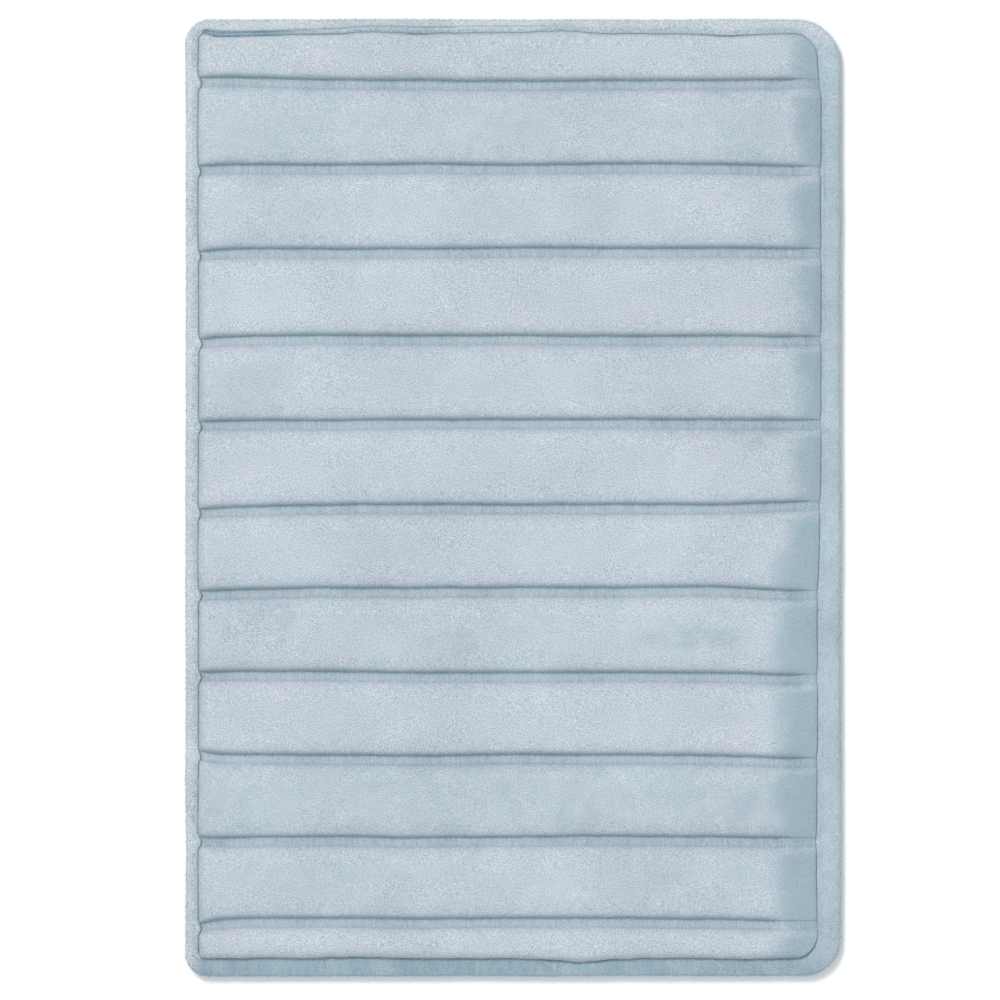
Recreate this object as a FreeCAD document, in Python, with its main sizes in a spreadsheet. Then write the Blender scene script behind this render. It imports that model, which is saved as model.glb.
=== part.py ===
"""Memory foam bath mat: velour face pressed over a foam slab, bound edge, non-slip underside.

Frame: +Z up, +X across the mat, +Y along it, origin on the floor under the centre. Millimetres.
Bottom to top the mat is grip dots, base cloth, foam core and velour cover. A velour strip is folded round
the raw edges of those layers, and one lockstitch seam holds it: the needle thread lies in the ditch beside
the raised bars, the bobbin thread in the strip's underside.
"""
import FreeCAD, Part
import math
import os

import Sketcher

os.makedirs("parts", exist_ok=True)
doc = FreeCAD.newDocument("BathMat")

# ---------------------------------------------------------------- driving dimensions

DIMENSIONS = [
    ("width", 425.0, "across the mat, X"),
    ("length", 621.0, "along the mat, Y"),
    ("corner_back_left", 15.0, "outer corner radii"),
    ("corner_back_right", 28.0, ""),
    ("corner_front_left", 14.0, ""),
    ("corner_front_right", 24.0, ""),
    ("border_left", 7.5, "width of the bound border on each side"),
    ("border_right", 15.5, ""),
    ("border_back", 9.1, ""),
    ("border_front", 11.4, ""),
    ("seam_corner_left", 4.0, "radius of the seam in its two left corners"),
    ("seam_corner_right", 16.0, "radius of the seam in its two right corners"),
    ("dot_height", 1.2, "grip dots, floor to base cloth"),
    ("dot_foot", 2.5, "radius of a dot on the cloth"),
    ("dot_tip", 1.7, "radius of a dot on the floor"),
    ("dot_pitch", 14.0, "spacing of the dots both ways"),
    ("dot_margin", 4.5, "centre of a dot to the binding or the label, at least"),
    ("base_thickness", 0.8, "base cloth"),
    ("foam_rim", 1.6, "foam crushed flat under the binding"),
    ("cover_rim", 2.6, "velour crushed flat under the binding"),
    ("foam_bar", 11.6, "foam thickness in a raised bar"),
    ("foam_channel", 3.6, "foam thickness left under a channel"),
    ("cover_thickness", 2.9, "velour over a bar or a channel"),
    ("cover_wall", 2.2, "velour on the steep sides of a bar"),
    ("channel_count", 11.0, "channels pressed across the mat"),
    ("channel_pitch", 54.4, "spacing of the channels"),
    ("channel_middle", -5.1, "Y of the middle channel"),
    ("channel_floor", 6.4, "width of a channel at its floor"),
    ("channel_mouth", 9.6, "width of a channel at its mouth"),
    ("slope_left", 8.0, "length of the slope at the bars' left ends"),
    ("slope_right", 21.0, "length of the slope at the bars' right ends"),
    ("slope_ends", 6.0, "length of the slope at the front and back of the mat"),
    ("ditch", 1.2, "seam to the foot of the bars"),
    ("strip_fold", 3.0, "thickness of the binding at its outer fold"),
    ("strip_upper", 3.2, "thickness of the binding's upper leg"),
    ("strip_rounding", 2.6, "rounding of the upper leg"),
    ("strip_foot_rounding", 0.8, "rounding under the outer fold"),
    ("strip_lap", 4.0, "how far the lower leg reaches in past the seam"),
    ("thread_inset", 0.4, "seam line to the middle of its thread"),
    ("thread_radius", 0.3, "sewing thread"),
    ("thread_clearance", 0.05, "thread to the groove in the binding"),
    ("label_width", 28.0, "care label, along the edge"),
    ("label_reach", 42.0, "care label, in from the seam"),
    ("label_thickness", 0.3, "care label"),
    ("label_place", -180.0, "Y of the care label's middle"),
]

sheet = doc.addObject("Spreadsheet::Sheet", "Sizes")
for row, (alias, value, note) in enumerate(DIMENSIONS, start=1):
    sheet.set(f"A{row}", alias)
    sheet.set(f"B{row}", str(value))
    sheet.setAlias(f"B{row}", alias)
    sheet.set(f"C{row}", note)
doc.recompute()

# Heights above the floor, each an expression on the sheet.
BASE_UNDERSIDE = "Sizes.dot_height"
FOAM_UNDERSIDE = f"({BASE_UNDERSIDE} + Sizes.base_thickness)"
COVER_UNDERSIDE = f"({FOAM_UNDERSIDE} + Sizes.foam_rim)"
RIM_TOP = f"({COVER_UNDERSIDE} + Sizes.cover_rim)"
FOAM_CROWN = f"({FOAM_UNDERSIDE} + Sizes.foam_bar)"
FOAM_CHANNEL = f"({FOAM_UNDERSIDE} + Sizes.foam_channel)"
COVER_CROWN = f"({FOAM_CROWN} + Sizes.cover_thickness)"
COVER_CHANNEL = f"({FOAM_CHANNEL} + Sizes.cover_thickness)"
LABEL_UNDERSIDE = f"({BASE_UNDERSIDE} - Sizes.label_thickness)"

SMALLEST_CUT = 1.0  # cubic millimetres; a cut that takes less has missed the solid


# ---------------------------------------------------------------- outlines of the mat

def outer_line(inset="0"):
    """The mat's outer edge, moved in by inset: its four sides and four corner radii as expressions."""
    return {
        "left": f"Sizes.width / 2 - {inset}",
        "right": f"Sizes.width / 2 - {inset}",
        "back": f"Sizes.length / 2 - {inset}",
        "front": f"Sizes.length / 2 - {inset}",
        "back_left": f"Sizes.corner_back_left - {inset}",
        "back_right": f"Sizes.corner_back_right - {inset}",
        "front_left": f"Sizes.corner_front_left - {inset}",
        "front_right": f"Sizes.corner_front_right - {inset}",
    }


def seam_line(inset="0"):
    """The seam that holds the binding, moved in by inset. Its corners keep their radii."""
    return {
        "left": f"Sizes.width / 2 - Sizes.border_left - {inset}",
        "right": f"Sizes.width / 2 - Sizes.border_right - {inset}",
        "back": f"Sizes.length / 2 - Sizes.border_back - {inset}",
        "front": f"Sizes.length / 2 - Sizes.border_front - {inset}",
        "back_left": "Sizes.seam_corner_left",
        "back_right": "Sizes.seam_corner_right",
        "front_left": "Sizes.seam_corner_left",
        "front_right": "Sizes.seam_corner_right",
    }


def tucked_line():
    """The raw edge of the layers inside the binding."""
    return outer_line("Sizes.strip_fold")


def add_outline(sketch, line):
    """Draw one rounded rectangle, its lines and arcs tangent, sized by the expressions in line."""
    size = {key: float(sketch.evalExpression(text)) for key, text in line.items()}
    left, right, front, back = -size["left"], size["right"], -size["front"], size["back"]
    corners = [
        ("front_right", right, front, 1, -1, 270),
        ("back_right", right, back, 1, 1, 0),
        ("back_left", left, back, -1, 1, 90),
        ("front_left", left, front, -1, -1, 180),
    ]
    arcs = []
    for name, x, y, x_side, y_side, start_angle in corners:
        radius = size[name]
        middle = FreeCAD.Vector(x - x_side * radius, y - y_side * radius, 0)
        circle = Part.Circle(middle, FreeCAD.Vector(0, 0, 1), radius)
        arc = Part.ArcOfCircle(circle, math.radians(start_angle), math.radians(start_angle + 90))
        arcs.append(sketch.addGeometry(arc, False))
        driven = sketch.addConstraint(Sketcher.Constraint("Radius", arcs[-1], radius))
        sketch.setExpression(f"Constraints[{driven}]", line[name])

    sides = [("right", "Vertical"), ("back", "Horizontal"), ("left", "Vertical"), ("front", "Horizontal")]
    for turn, (side, direction) in enumerate(sides):
        before, after = arcs[turn], arcs[(turn + 1) % 4]
        start = sketch.getPoint(before, 2)
        end = sketch.getPoint(after, 1)
        edge = sketch.addGeometry(Part.LineSegment(start, end), False)
        sketch.addConstraint(Sketcher.Constraint("Tangent", before, 2, edge, 1))
        sketch.addConstraint(Sketcher.Constraint("Tangent", edge, 2, after, 1))
        sketch.addConstraint(Sketcher.Constraint(direction, edge))
        across = "DistanceX" if direction == "Vertical" else "DistanceY"
        if side in ("right", "back"):
            distance = Sketcher.Constraint(across, -1, 1, edge, 1, size[side])
        else:
            distance = Sketcher.Constraint(across, edge, 1, -1, 1, size[side])
        driven = sketch.addConstraint(distance)
        sketch.setExpression(f"Constraints[{driven}]", line[side])


def add_polygon(sketch, corners):
    """Draw a closed polygon; each corner is an expression for its distance along, and one for its height."""
    points = [FreeCAD.Vector(*(float(sketch.evalExpression(text)) for text in corner)) for corner in corners]
    edges = []
    for start, end in zip(points, points[1:] + points[:1]):
        edges.append(sketch.addGeometry(Part.LineSegment(start, end), False))
    for number, edge in enumerate(edges):
        following = edges[(number + 1) % len(edges)]
        sketch.addConstraint(Sketcher.Constraint("Coincident", edge, 2, following, 1))
    for edge, point, corner in zip(edges, points, corners):
        for across, place, text in zip(("DistanceX", "DistanceY"), (point.x, point.y), corner):
            driven = sketch.addConstraint(Sketcher.Constraint(across, -1, 1, edge, 1, place))
            sketch.setExpression(f"Constraints[{driven}]", text)


# ---------------------------------------------------------------- features of a body

def new_body(label):
    body = doc.addObject("PartDesign::Body", label)
    body.Label = label
    return body


def origin_feature(body, role):
    return next(part for part in body.Origin.OriginFeatures if part.Role == role)


def new_sketch(body, name, plane, level="0"):
    """A sketch on one of the body's own origin planes, lifted off it by level."""
    sketch = body.newObject("Sketcher::SketchObject", f"{body.Label}_{name}")
    sketch.AttachmentSupport = [(origin_feature(body, plane), "")]
    sketch.MapMode = "FlatFace"
    sketch.setExpression("AttachmentOffset.Base.z", level)
    return sketch


def pad_outline(body, name, level, height, *lines):
    """Pad the area between outlines, upwards from level."""
    sketch = new_sketch(body, f"{name}_outline", "XY_Plane", level)
    for line in lines:
        add_outline(sketch, line)
    pad = body.newObject("PartDesign::Pad", f"{body.Label}_{name}")
    pad.Profile = sketch
    pad.setExpression("Length", height)
    doc.recompute()
    return pad


def pocket(body, name, sketch, depth=None):
    """Cut a sketch's area out of the body: downwards by depth, or through everything both ways."""
    volume_before = body.Shape.Volume
    cut = body.newObject("PartDesign::Pocket", f"{body.Label}_{name}")
    cut.Profile = sketch
    if depth is None:
        cut.SideType = "Symmetric"
        cut.Type = "ThroughAll"
    else:
        cut.setExpression("Length", depth)
    doc.recompute()
    if volume_before - body.Shape.Volume < SMALLEST_CUT:
        raise RuntimeError(f"{cut.Name} cuts nothing")
    return cut


def add_ring(body, name, line, radius, height):
    """A round thread laid along an outline at the given height."""
    path = new_sketch(body, f"{name}_path", "XY_Plane", height)
    add_outline(path, line)
    section = new_sketch(body, f"{name}_section", "XZ_Plane")
    along = float(section.evalExpression(line["right"]))
    up = float(section.evalExpression(height))
    size = float(section.evalExpression(radius))
    middle = FreeCAD.Vector(along, up, 0)
    circle = section.addGeometry(Part.Circle(middle, FreeCAD.Vector(0, 0, 1), size), False)
    for kind, value, text in (("DistanceX", along, line["right"]), ("DistanceY", up, height)):
        driven = section.addConstraint(Sketcher.Constraint(kind, -1, 1, circle, 3, value))
        section.setExpression(f"Constraints[{driven}]", text)
    driven = section.addConstraint(Sketcher.Constraint("Radius", circle, size))
    section.setExpression(f"Constraints[{driven}]", radius)
    pipe = body.newObject("PartDesign::AdditivePipe", f"{body.Label}_{name}")
    pipe.Profile = section
    pipe.Spine = path
    doc.recompute()
    return pipe


# ---------------------------------------------------------------- foam core and velour cover

def quilted_block(label, underside, rim_top, channel_floor, crown, wall):
    """A slab with a flat rim, sloped ends and the channels pressed across it.

    The heights are expressions. wall is how far its steep faces lie inside the mat's visible ones."""
    body = new_body(label)
    pad_outline(body, "rim", underside, f"{rim_top} - {underside}", tucked_line())
    foot = f"(Sizes.ditch + {wall})"
    pad_outline(body, "bars", underside, f"{crown} - {underside}", seam_line(foot))

    above = f"({crown} + Sizes.cover_thickness)"
    ends = [
        ("left_slope", "XZ_Plane", "left", "-1", "Sizes.slope_left"),
        ("right_slope", "XZ_Plane", "right", "1", "Sizes.slope_right"),
        ("front_slope", "YZ_Plane", "front", "-1", "Sizes.slope_ends"),
        ("back_slope", "YZ_Plane", "back", "1", "Sizes.slope_ends"),
    ]
    for name, plane, side, sign, run in ends:
        bottom = f"{sign} * ({seam_line(foot)[side]})"
        inner = f"{sign} * ({seam_line(foot)[side]} - {run})"
        outside = f"{sign} * ({seam_line()[side]} + Sizes.border_right)"
        sketch = new_sketch(body, f"{name}_section", plane)
        add_polygon(sketch, [
            (bottom, rim_top),
            (inner, crown),
            (inner, above),
            (outside, above),
            (outside, rim_top),
        ])
        pocket(body, name, sketch)

    first = "(Sizes.channel_middle - Sizes.channel_pitch * (Sizes.channel_count - 1) / 2)"
    half_floor = f"(Sizes.channel_floor / 2 + {wall})"
    half_mouth = f"(Sizes.channel_mouth / 2 + {wall})"
    sketch = new_sketch(body, "channel_section", "YZ_Plane")
    add_polygon(sketch, [
        (f"{first} - {half_floor}", channel_floor),
        (f"{first} + {half_floor}", channel_floor),
        (f"{first} + {half_mouth}", crown),
        (f"{first} + {half_mouth}", above),
        (f"{first} - {half_mouth}", above),
        (f"{first} - {half_mouth}", crown),
    ])
    channel = pocket(body, "channel", sketch)
    pattern = body.newObject("PartDesign::LinearPattern", f"{label}_channels")
    pattern.Originals = [channel]
    pattern.Direction = (origin_feature(body, "Y_Axis"), [""])
    pattern.setExpression("Length", "Sizes.channel_pitch * (Sizes.channel_count - 1)")
    pattern.setExpression("Occurrences", "Sizes.channel_count")
    body.Tip = pattern
    doc.recompute()
    return body


def make_foam_core():
    return quilted_block("foam_core", FOAM_UNDERSIDE, COVER_UNDERSIDE, FOAM_CHANNEL, FOAM_CROWN,
                         "Sizes.cover_wall")


def make_velour_cover(foam):
    """The cover is the space between the mat's visible face and the foam it is bonded to."""
    face = quilted_block("velour_face", COVER_UNDERSIDE, RIM_TOP, COVER_CHANNEL, COVER_CROWN, "0")
    cover = doc.addObject("Part::Cut", "velour_cover")
    cover.Base = face
    cover.Tool = foam
    doc.recompute()
    return cover


# ---------------------------------------------------------------- underside

def make_base_cloth():
    body = new_body("base_cloth")
    pad_outline(body, "sheet", BASE_UNDERSIDE, "Sizes.base_thickness", tucked_line())
    return body


def make_grip_dots():
    """Separate low cones on a square grid, clear of the binding's lower leg and of the label."""
    dots = doc.addObject("Part::Feature", "grip_dots")
    reach = sheet.strip_lap + sheet.dot_margin
    x_low = -sheet.width / 2 + sheet.border_left + reach
    x_high = sheet.width / 2 - sheet.border_right - reach
    y_low = -sheet.length / 2 + sheet.border_front + reach
    y_high = sheet.length / 2 - sheet.border_back - reach
    columns = int((x_high - x_low) // sheet.dot_pitch) + 1
    rows = int((y_high - y_low) // sheet.dot_pitch) + 1
    x_first = (x_low + x_high - (columns - 1) * sheet.dot_pitch) / 2
    y_first = (y_low + y_high - (rows - 1) * sheet.dot_pitch) / 2

    label_edge = sheet.width / 2 - sheet.border_right - sheet.label_reach - sheet.dot_margin
    label_half = sheet.label_width / 2 + sheet.dot_margin
    corner_box = sheet.seam_corner_right
    solids = []
    for row in range(rows):
        for column in range(columns):
            x = x_first + column * sheet.dot_pitch
            y = y_first + row * sheet.dot_pitch
            under_label = x > label_edge and abs(y - sheet.label_place) < label_half
            at_round_corner = x > x_high - corner_box / 4 and min(y - y_low, y_high - y) < corner_box / 4
            if under_label or at_round_corner:
                continue
            place = FreeCAD.Vector(x, y, 0)
            solids.append(Part.makeCone(sheet.dot_tip, sheet.dot_foot, sheet.dot_height, place))
    dots.Shape = Part.makeCompound(solids)
    dots.Placement = FreeCAD.Placement()
    return dots


def make_care_label():
    """A blank woven label, its end caught between the binding's lower leg and the base cloth."""
    body = new_body("care_label")
    sketch = new_sketch(body, "outline", "XY_Plane", LABEL_UNDERSIDE)
    add_polygon(sketch, label_corners(seam_line()["right"]))
    pad = body.newObject("PartDesign::Pad", "care_label_sheet")
    pad.Profile = sketch
    pad.setExpression("Length", "Sizes.label_thickness")
    return body


def label_corners(outer_end):
    """The label's rectangle, from its free end to outer_end."""
    free_end = f"({seam_line()['right']} - Sizes.label_reach)"
    low = "(Sizes.label_place - Sizes.label_width / 2)"
    high = "(Sizes.label_place + Sizes.label_width / 2)"
    return [(free_end, low), (outer_end, low), (outer_end, high), (free_end, high)]


# ---------------------------------------------------------------- binding and its seam

def make_edge_binding():
    """A strip folded round the rim: lower leg, outer fold and upper leg, as one C section."""
    body = new_body("edge_binding")
    pad_outline(body, "lower_leg", "0", "Sizes.dot_height", outer_line(), seam_line("Sizes.strip_lap"))
    pad_outline(body, "fold", BASE_UNDERSIDE, f"{RIM_TOP} - {BASE_UNDERSIDE}", outer_line(), tucked_line())
    pad_outline(body, "upper_leg", RIM_TOP, "Sizes.strip_upper", outer_line(), seam_line())

    groove_half = "(Sizes.thread_radius + Sizes.thread_clearance)"
    groove_depth = f"(2 * {groove_half})"
    groove = new_sketch(body, "thread_groove_outline", "XY_Plane", groove_depth)
    add_outline(groove, seam_line(f"(Sizes.thread_inset - {groove_half})"))
    add_outline(groove, seam_line(f"(Sizes.thread_inset + {groove_half})"))
    pocket(body, "thread_groove", groove, groove_depth)

    slot = new_sketch(body, "label_slot_outline", "XY_Plane", BASE_UNDERSIDE)
    add_polygon(slot, label_corners(seam_line()["right"]))
    pocket(body, "label_slot", slot, "Sizes.label_thickness")

    top = float(sheet.evalExpression(f"{RIM_TOP} + Sizes.strip_upper"))
    round_edges(body, "upper_rounding", edges_at(body, top), "Sizes.strip_rounding")
    round_edges(body, "foot_rounding", outer_loop(body, edges_at(body, 0.0)), "Sizes.strip_foot_rounding")
    return body


def edges_at(body, height):
    """Names of the body's edges that lie flat at one height."""
    names = []
    for number, edge in enumerate(body.Shape.Edges, start=1):
        box = edge.BoundBox
        if abs(box.ZMin - height) < 1e-4 and abs(box.ZMax - height) < 1e-4:
            names.append(f"Edge{number}")
    return names


def outer_loop(body, edge_names):
    """Those of the edges that lie on the mat's outer line, where the shape is as wide as it gets."""
    wires = Part.sortEdges([body.Shape.getElement(name) for name in edge_names])
    widest = max(wires, key=lambda edges: Part.Wire(edges).BoundBox.DiagonalLength)
    return [name for name in edge_names if any(body.Shape.getElement(name).isSame(edge) for edge in widest)]


def round_edges(body, name, edge_names, radius):
    rounded = body.Tip
    fillet = body.newObject("PartDesign::Fillet", f"{body.Label}_{name}")
    fillet.Base = (rounded, edge_names)
    fillet.setExpression("Radius", radius)
    doc.recompute()
    return fillet


def make_needle_thread():
    body = new_body("needle_thread")
    add_ring(body, "strand", seam_line("Sizes.thread_inset"), "Sizes.thread_radius",
             f"({RIM_TOP} + Sizes.thread_radius)")
    return body


def make_bobbin_thread():
    body = new_body("bobbin_thread")
    add_ring(body, "strand", seam_line("Sizes.thread_inset"), "Sizes.thread_radius",
             "(Sizes.thread_radius + Sizes.thread_clearance)")
    return body


# ---------------------------------------------------------------- build, check, write

foam_core = make_foam_core()
subparts = [
    make_velour_cover(foam_core),
    foam_core,
    make_base_cloth(),
    make_grip_dots(),
    make_edge_binding(),
    make_needle_thread(),
    make_bobbin_thread(),
    make_care_label(),
]
doc.recompute()

for item in doc.Objects:
    if "Invalid" in item.State or "Error" in item.State:
        raise RuntimeError(f"{item.Name} did not build: {item.State}")
for item in subparts:
    if item.Shape.isNull() or not item.Shape.isValid():
        raise RuntimeError(f"{item.Label} is not a valid solid")

for item in subparts:
    item.Shape.exportStep(f"parts/{item.Label}.step")
    box = item.Shape.BoundBox
    print(
        f"{item.Label}: {len(item.Shape.Solids)} solids, {item.Shape.Volume / 1000:.1f} cm3, "
        f"x {box.XMin:.1f} {box.XMax:.1f}, y {box.YMin:.1f} {box.YMax:.1f}, z {box.ZMin:.2f} {box.ZMax:.2f}"
    )
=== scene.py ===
import math

import bpy
import numpy as np
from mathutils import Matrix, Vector


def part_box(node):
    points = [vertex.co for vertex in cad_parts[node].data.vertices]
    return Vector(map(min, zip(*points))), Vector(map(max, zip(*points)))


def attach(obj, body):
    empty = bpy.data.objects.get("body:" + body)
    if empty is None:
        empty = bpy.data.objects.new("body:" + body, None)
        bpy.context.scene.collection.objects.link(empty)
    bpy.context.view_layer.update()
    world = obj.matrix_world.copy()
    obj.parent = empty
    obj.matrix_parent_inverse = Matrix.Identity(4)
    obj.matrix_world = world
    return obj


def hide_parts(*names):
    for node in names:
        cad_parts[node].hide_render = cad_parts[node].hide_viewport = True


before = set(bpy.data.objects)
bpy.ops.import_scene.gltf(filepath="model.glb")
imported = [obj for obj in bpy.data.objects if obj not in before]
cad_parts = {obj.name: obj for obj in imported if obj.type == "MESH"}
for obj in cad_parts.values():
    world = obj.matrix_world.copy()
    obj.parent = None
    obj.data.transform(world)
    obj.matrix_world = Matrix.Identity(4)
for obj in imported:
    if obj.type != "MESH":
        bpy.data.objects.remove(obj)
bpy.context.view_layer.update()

MM = 0.001

# ---- sizes taken from the frame

cover_low, cover_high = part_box("velour_cover")
binding_low, binding_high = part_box("edge_binding")
thread_low, thread_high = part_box("needle_thread")
foam_low, foam_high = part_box("foam_core")
cloth_low, cloth_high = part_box("base_cloth")
label_low, label_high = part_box("care_label")
dots_low, dots_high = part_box("grip_dots")

THREAD_RADIUS = 0.3 * MM
THREAD_INSET = 0.4 * MM
seam_reach = THREAD_INSET - THREAD_RADIUS
SEAM_LEFT = thread_low[0] - seam_reach
SEAM_RIGHT = thread_high[0] + seam_reach
SEAM_FRONT = thread_low[1] - seam_reach
SEAM_BACK = thread_high[1] + seam_reach
DITCH = thread_low[2]
CROWN = cover_high[2]
STRIP_TOP = binding_high[2]

# Corner radii, in the order front right, back right, back left, front left.
OUTER_CORNERS = [24 * MM, 28 * MM, 15 * MM, 14 * MM]
SEAM_CORNERS = [16 * MM, 16 * MM, 4 * MM, 4 * MM]
TUCK = 3 * MM
TUCKED_CORNERS = [radius - TUCK for radius in OUTER_CORNERS]

# ---- the channels

CHANNELS = 11
CHANNEL_PITCH = 54.4 * MM
CHANNEL_MIDDLE = -5.1 * MM
FLOOR_BACK = 3.9 * MM       # channel floor, from its middle to the steep front edge of the bar behind
FLOOR_FRONT = 2.3 * MM      # and to the foot of the gentler back edge of the bar in front
FRONT_EDGE_RUN = 8 * MM     # how far back a bar's front edge starts to round over
BACK_EDGE_RUN = 11 * MM     # the same for its back edge
FLOOR_RISE = 0.4            # channel floor, as a share of the way from ditch to crown

# How far each channel strays towards the front, in mm, front channel first: all along, leaning
# towards its left end, close to its left end, and towards its right end. The runs say how far each reaches.
MIDDLE_DRIFT = [-0.4, 1.0, 2.4, 3.2, 2.1, 2.4, 1.9, 2.0, -0.4, -0.4, 0.0]
LEFT_LEAN = [0.0, 0.8, 0.0, -0.8, 1.6, 1.8, 1.5, 0.0, 0.0, 0.0, -3.2]
LEFT_DRIFT = [4.0, -0.8, -2.9, 0.6, 0.7, 1.4, 0.2, 2.4, 2.2, 1.2, 1.4]
RIGHT_DRIFT = [1.4, 1.2, 1.8, 1.0, 1.8, -1.0, 1.0, 0.6, 0.2, 0.8, -0.8]
LEFT_LEAN_RUN = 110 * MM
LEFT_DRIFT_RUN = 9 * MM
RIGHT_DRIFT_RUN = 78 * MM
# How far short of the right seam each channel's sharp line fades out, in mm.
RIGHT_FADE = [25, 18, 5, 6, 5, 5, 1, 1, 4, 5, 13]

channel_lines = [CHANNEL_MIDDLE + CHANNEL_PITCH * (k - (CHANNELS - 1) / 2) for k in range(CHANNELS)]


# ---- smooth irregularity

LINE_KNOTS = 4096
SURFACE_KNOTS = 1200


def smooth_step(value):
    value = np.clip(value, 0, 1)
    return value * value * (3 - 2 * value)


def bump_at(places, middle, width):
    """A smooth hump of height one."""
    return np.exp(-(((np.asarray(places) - middle) / width) ** 2))


def humps(places, sizes):
    """Smooth humps added up. Each has a height, a middle and a width, in mm."""
    return sum(height * MM * bump_at(places, middle * MM, width * MM) for height, middle, width in sizes)


def cell_and_share(position):
    cell = np.floor(position).astype(int)
    return cell, position - cell


def read_table(table, row, column, v, u):
    """Reads a table between its entries: u is the share across, v the share along."""
    near = table[row, column] * (1 - u) + table[row, column + 1] * u
    far = table[row + 1, column] * (1 - u) + table[row + 1, column + 1] * u
    return near * (1 - v) + far * v


def wander(seed, places, spacing, size):
    """A smooth random line: hand-made unevenness of the given spacing and size."""
    knots = np.random.default_rng(seed).uniform(-1, 1, LINE_KNOTS)
    cell, share = cell_and_share(np.asarray(places) / spacing + 2000)
    blend = smooth_step(share)
    return size * (knots[cell] * (1 - blend) + knots[cell + 1] * blend)


def ripple(seed, x, y, spacing_x, spacing_y, size):
    """A smooth random surface with the given spacing both ways."""
    knots = np.random.default_rng(seed).uniform(-1, 1, (SURFACE_KNOTS, SURFACE_KNOTS))
    column, u = cell_and_share(np.asarray(x) / spacing_x + SURFACE_KNOTS / 2)
    row, v = cell_and_share(np.asarray(y) / spacing_y + SURFACE_KNOTS / 2)
    return size * read_table(knots, row, column, smooth_step(v), smooth_step(u))


# ---- the seam line and the channel lines

def away_from_corners(places, low, high, first, last):
    """Fades the seam's unevenness out before the two round corners that a side runs between."""
    first, last = SEAM_CORNERS[first], SEAM_CORNERS[last]
    after_first = smooth_step((places - low - first) / (2 * MM + 1.6 * first))
    return after_first * smooth_step((high - places - last) / (2 * MM + 1.6 * last))


PINCH = 1.9 * MM                # how far a channel pulls the left seam in, give or take
PINCH_SPREAD = 0.5 * MM
PINCH_WIDTH = 3.2 * MM


def left_shift(y):
    """How far the left seam lies inside its nominal line; each channel pinches it inwards."""
    shift = -0.1 * MM + wander(11, y, 45 * MM, 0.35 * MM)
    for k, line in enumerate(channel_lines):
        pinch = PINCH + PINCH_SPREAD * math.sin(2.1 * k)
        strayed = (MIDDLE_DRIFT[k] + LEFT_LEAN[k] + 0.8 * LEFT_DRIFT[k]) * MM
        shift = shift + pinch * bump_at(y, line - strayed, PINCH_WIDTH)
    return shift * away_from_corners(y, SEAM_FRONT, SEAM_BACK, 3, 2)


def right_shift(y):
    """The right seam runs outside its nominal line at the back of the mat and inside it at the front."""
    shift = -2.2 * MM + 2.4 * MM * smooth_step((40 * MM - y) / (150 * MM))
    shift = shift + wander(12, y, 38 * MM, 0.5 * MM)
    for line in channel_lines:
        shift = shift + 0.5 * MM * bump_at(y, line, 5 * MM)
    return shift * away_from_corners(y, SEAM_FRONT, SEAM_BACK, 0, 1)


BACK_HUMPS = [(-1.1, 0, 120), (-1.5, 30, 17), (-1.2, -94, 16), (0.9, -60, 12), (0.9, 138, 14)]


def back_shift(x):
    """The back seam bows outwards near the middle."""
    shift = 0.4 * MM + 0.9 * MM * smooth_step((-138 * MM - x) / (20 * MM)) + humps(x, BACK_HUMPS)
    shift = shift + wander(13, x, 30 * MM, 0.3 * MM) + wander(15, x, 8 * MM, 0.2 * MM)
    return shift * away_from_corners(x, SEAM_LEFT, SEAM_RIGHT, 2, 1)


def front_shift(x):
    """The front seam bows outwards where the strip's ends overlap."""
    shift = humps(x, [(-2.6, 43, 17), (0.7, -120, 50)])
    shift = shift + wander(14, x, 34 * MM, 0.35 * MM) + wander(16, x, 8 * MM, 0.35 * MM)
    return shift * away_from_corners(x, SEAM_LEFT, SEAM_RIGHT, 3, 0)


def channel_drift(k, x):
    """Where channel k runs, measured from its straight line."""
    from_left = np.maximum(x - SEAM_LEFT, 0)
    left = LEFT_DRIFT[k] * MM * np.exp(-from_left / LEFT_DRIFT_RUN)
    left = left + LEFT_LEAN[k] * MM * np.exp(-from_left / LEFT_LEAN_RUN) + MIDDLE_DRIFT[k] * MM
    right = RIGHT_DRIFT[k] * MM * smooth_step((x - SEAM_RIGHT) / RIGHT_DRIFT_RUN + 1)
    return wander(30 + k, x, 62 * MM, 0.55 * MM) + wander(50 + k, x, 14 * MM, 0.12 * MM) - left - right


# ---- the mat's pressed surface

EDGE_START = 0.34               # how high the pile stands right at the seam, as a share of the bars' rise
SEAM_FOOT = 0.1 * MM            # strip of the face beside the seam where it first comes up
LEFT_SLOPE = 8.5 * MM           # how far in from each seam the bars reach their full height
RIGHT_SLOPE = 25 * MM
FRONT_SLOPE = 6.5 * MM
BACK_SLOPE = 4.5 * MM
CORNER_SLOPE = 6 * MM
LEFT_WALL = 3 * MM              # the upright part of the bars' two ends, and its share of their height
RIGHT_WALL = 5 * MM
WALL_SHARE = 0.2
FADE_SHARE = 0.7                # how much of a channel's wall is lost at its right end, and over what run
FADE_RUN = 12 * MM
CROWN_DIP = 1.1 * MM            # how far the velour lies below the crown of the CAD bars


def steep_edge(run):
    """Height of a bulging edge, from nought at its foot to one, as run goes from nought to one."""
    run = np.clip(run, 0, 1)
    return np.maximum(1 - (1 - run) ** 2.6, 0) ** 0.42


def soft_edge(run):
    """Height of a sloping edge that has no upright part."""
    run = np.clip(run, 0, 1)
    return (1 - (1 - run) ** 2.4) ** 0.64


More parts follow.
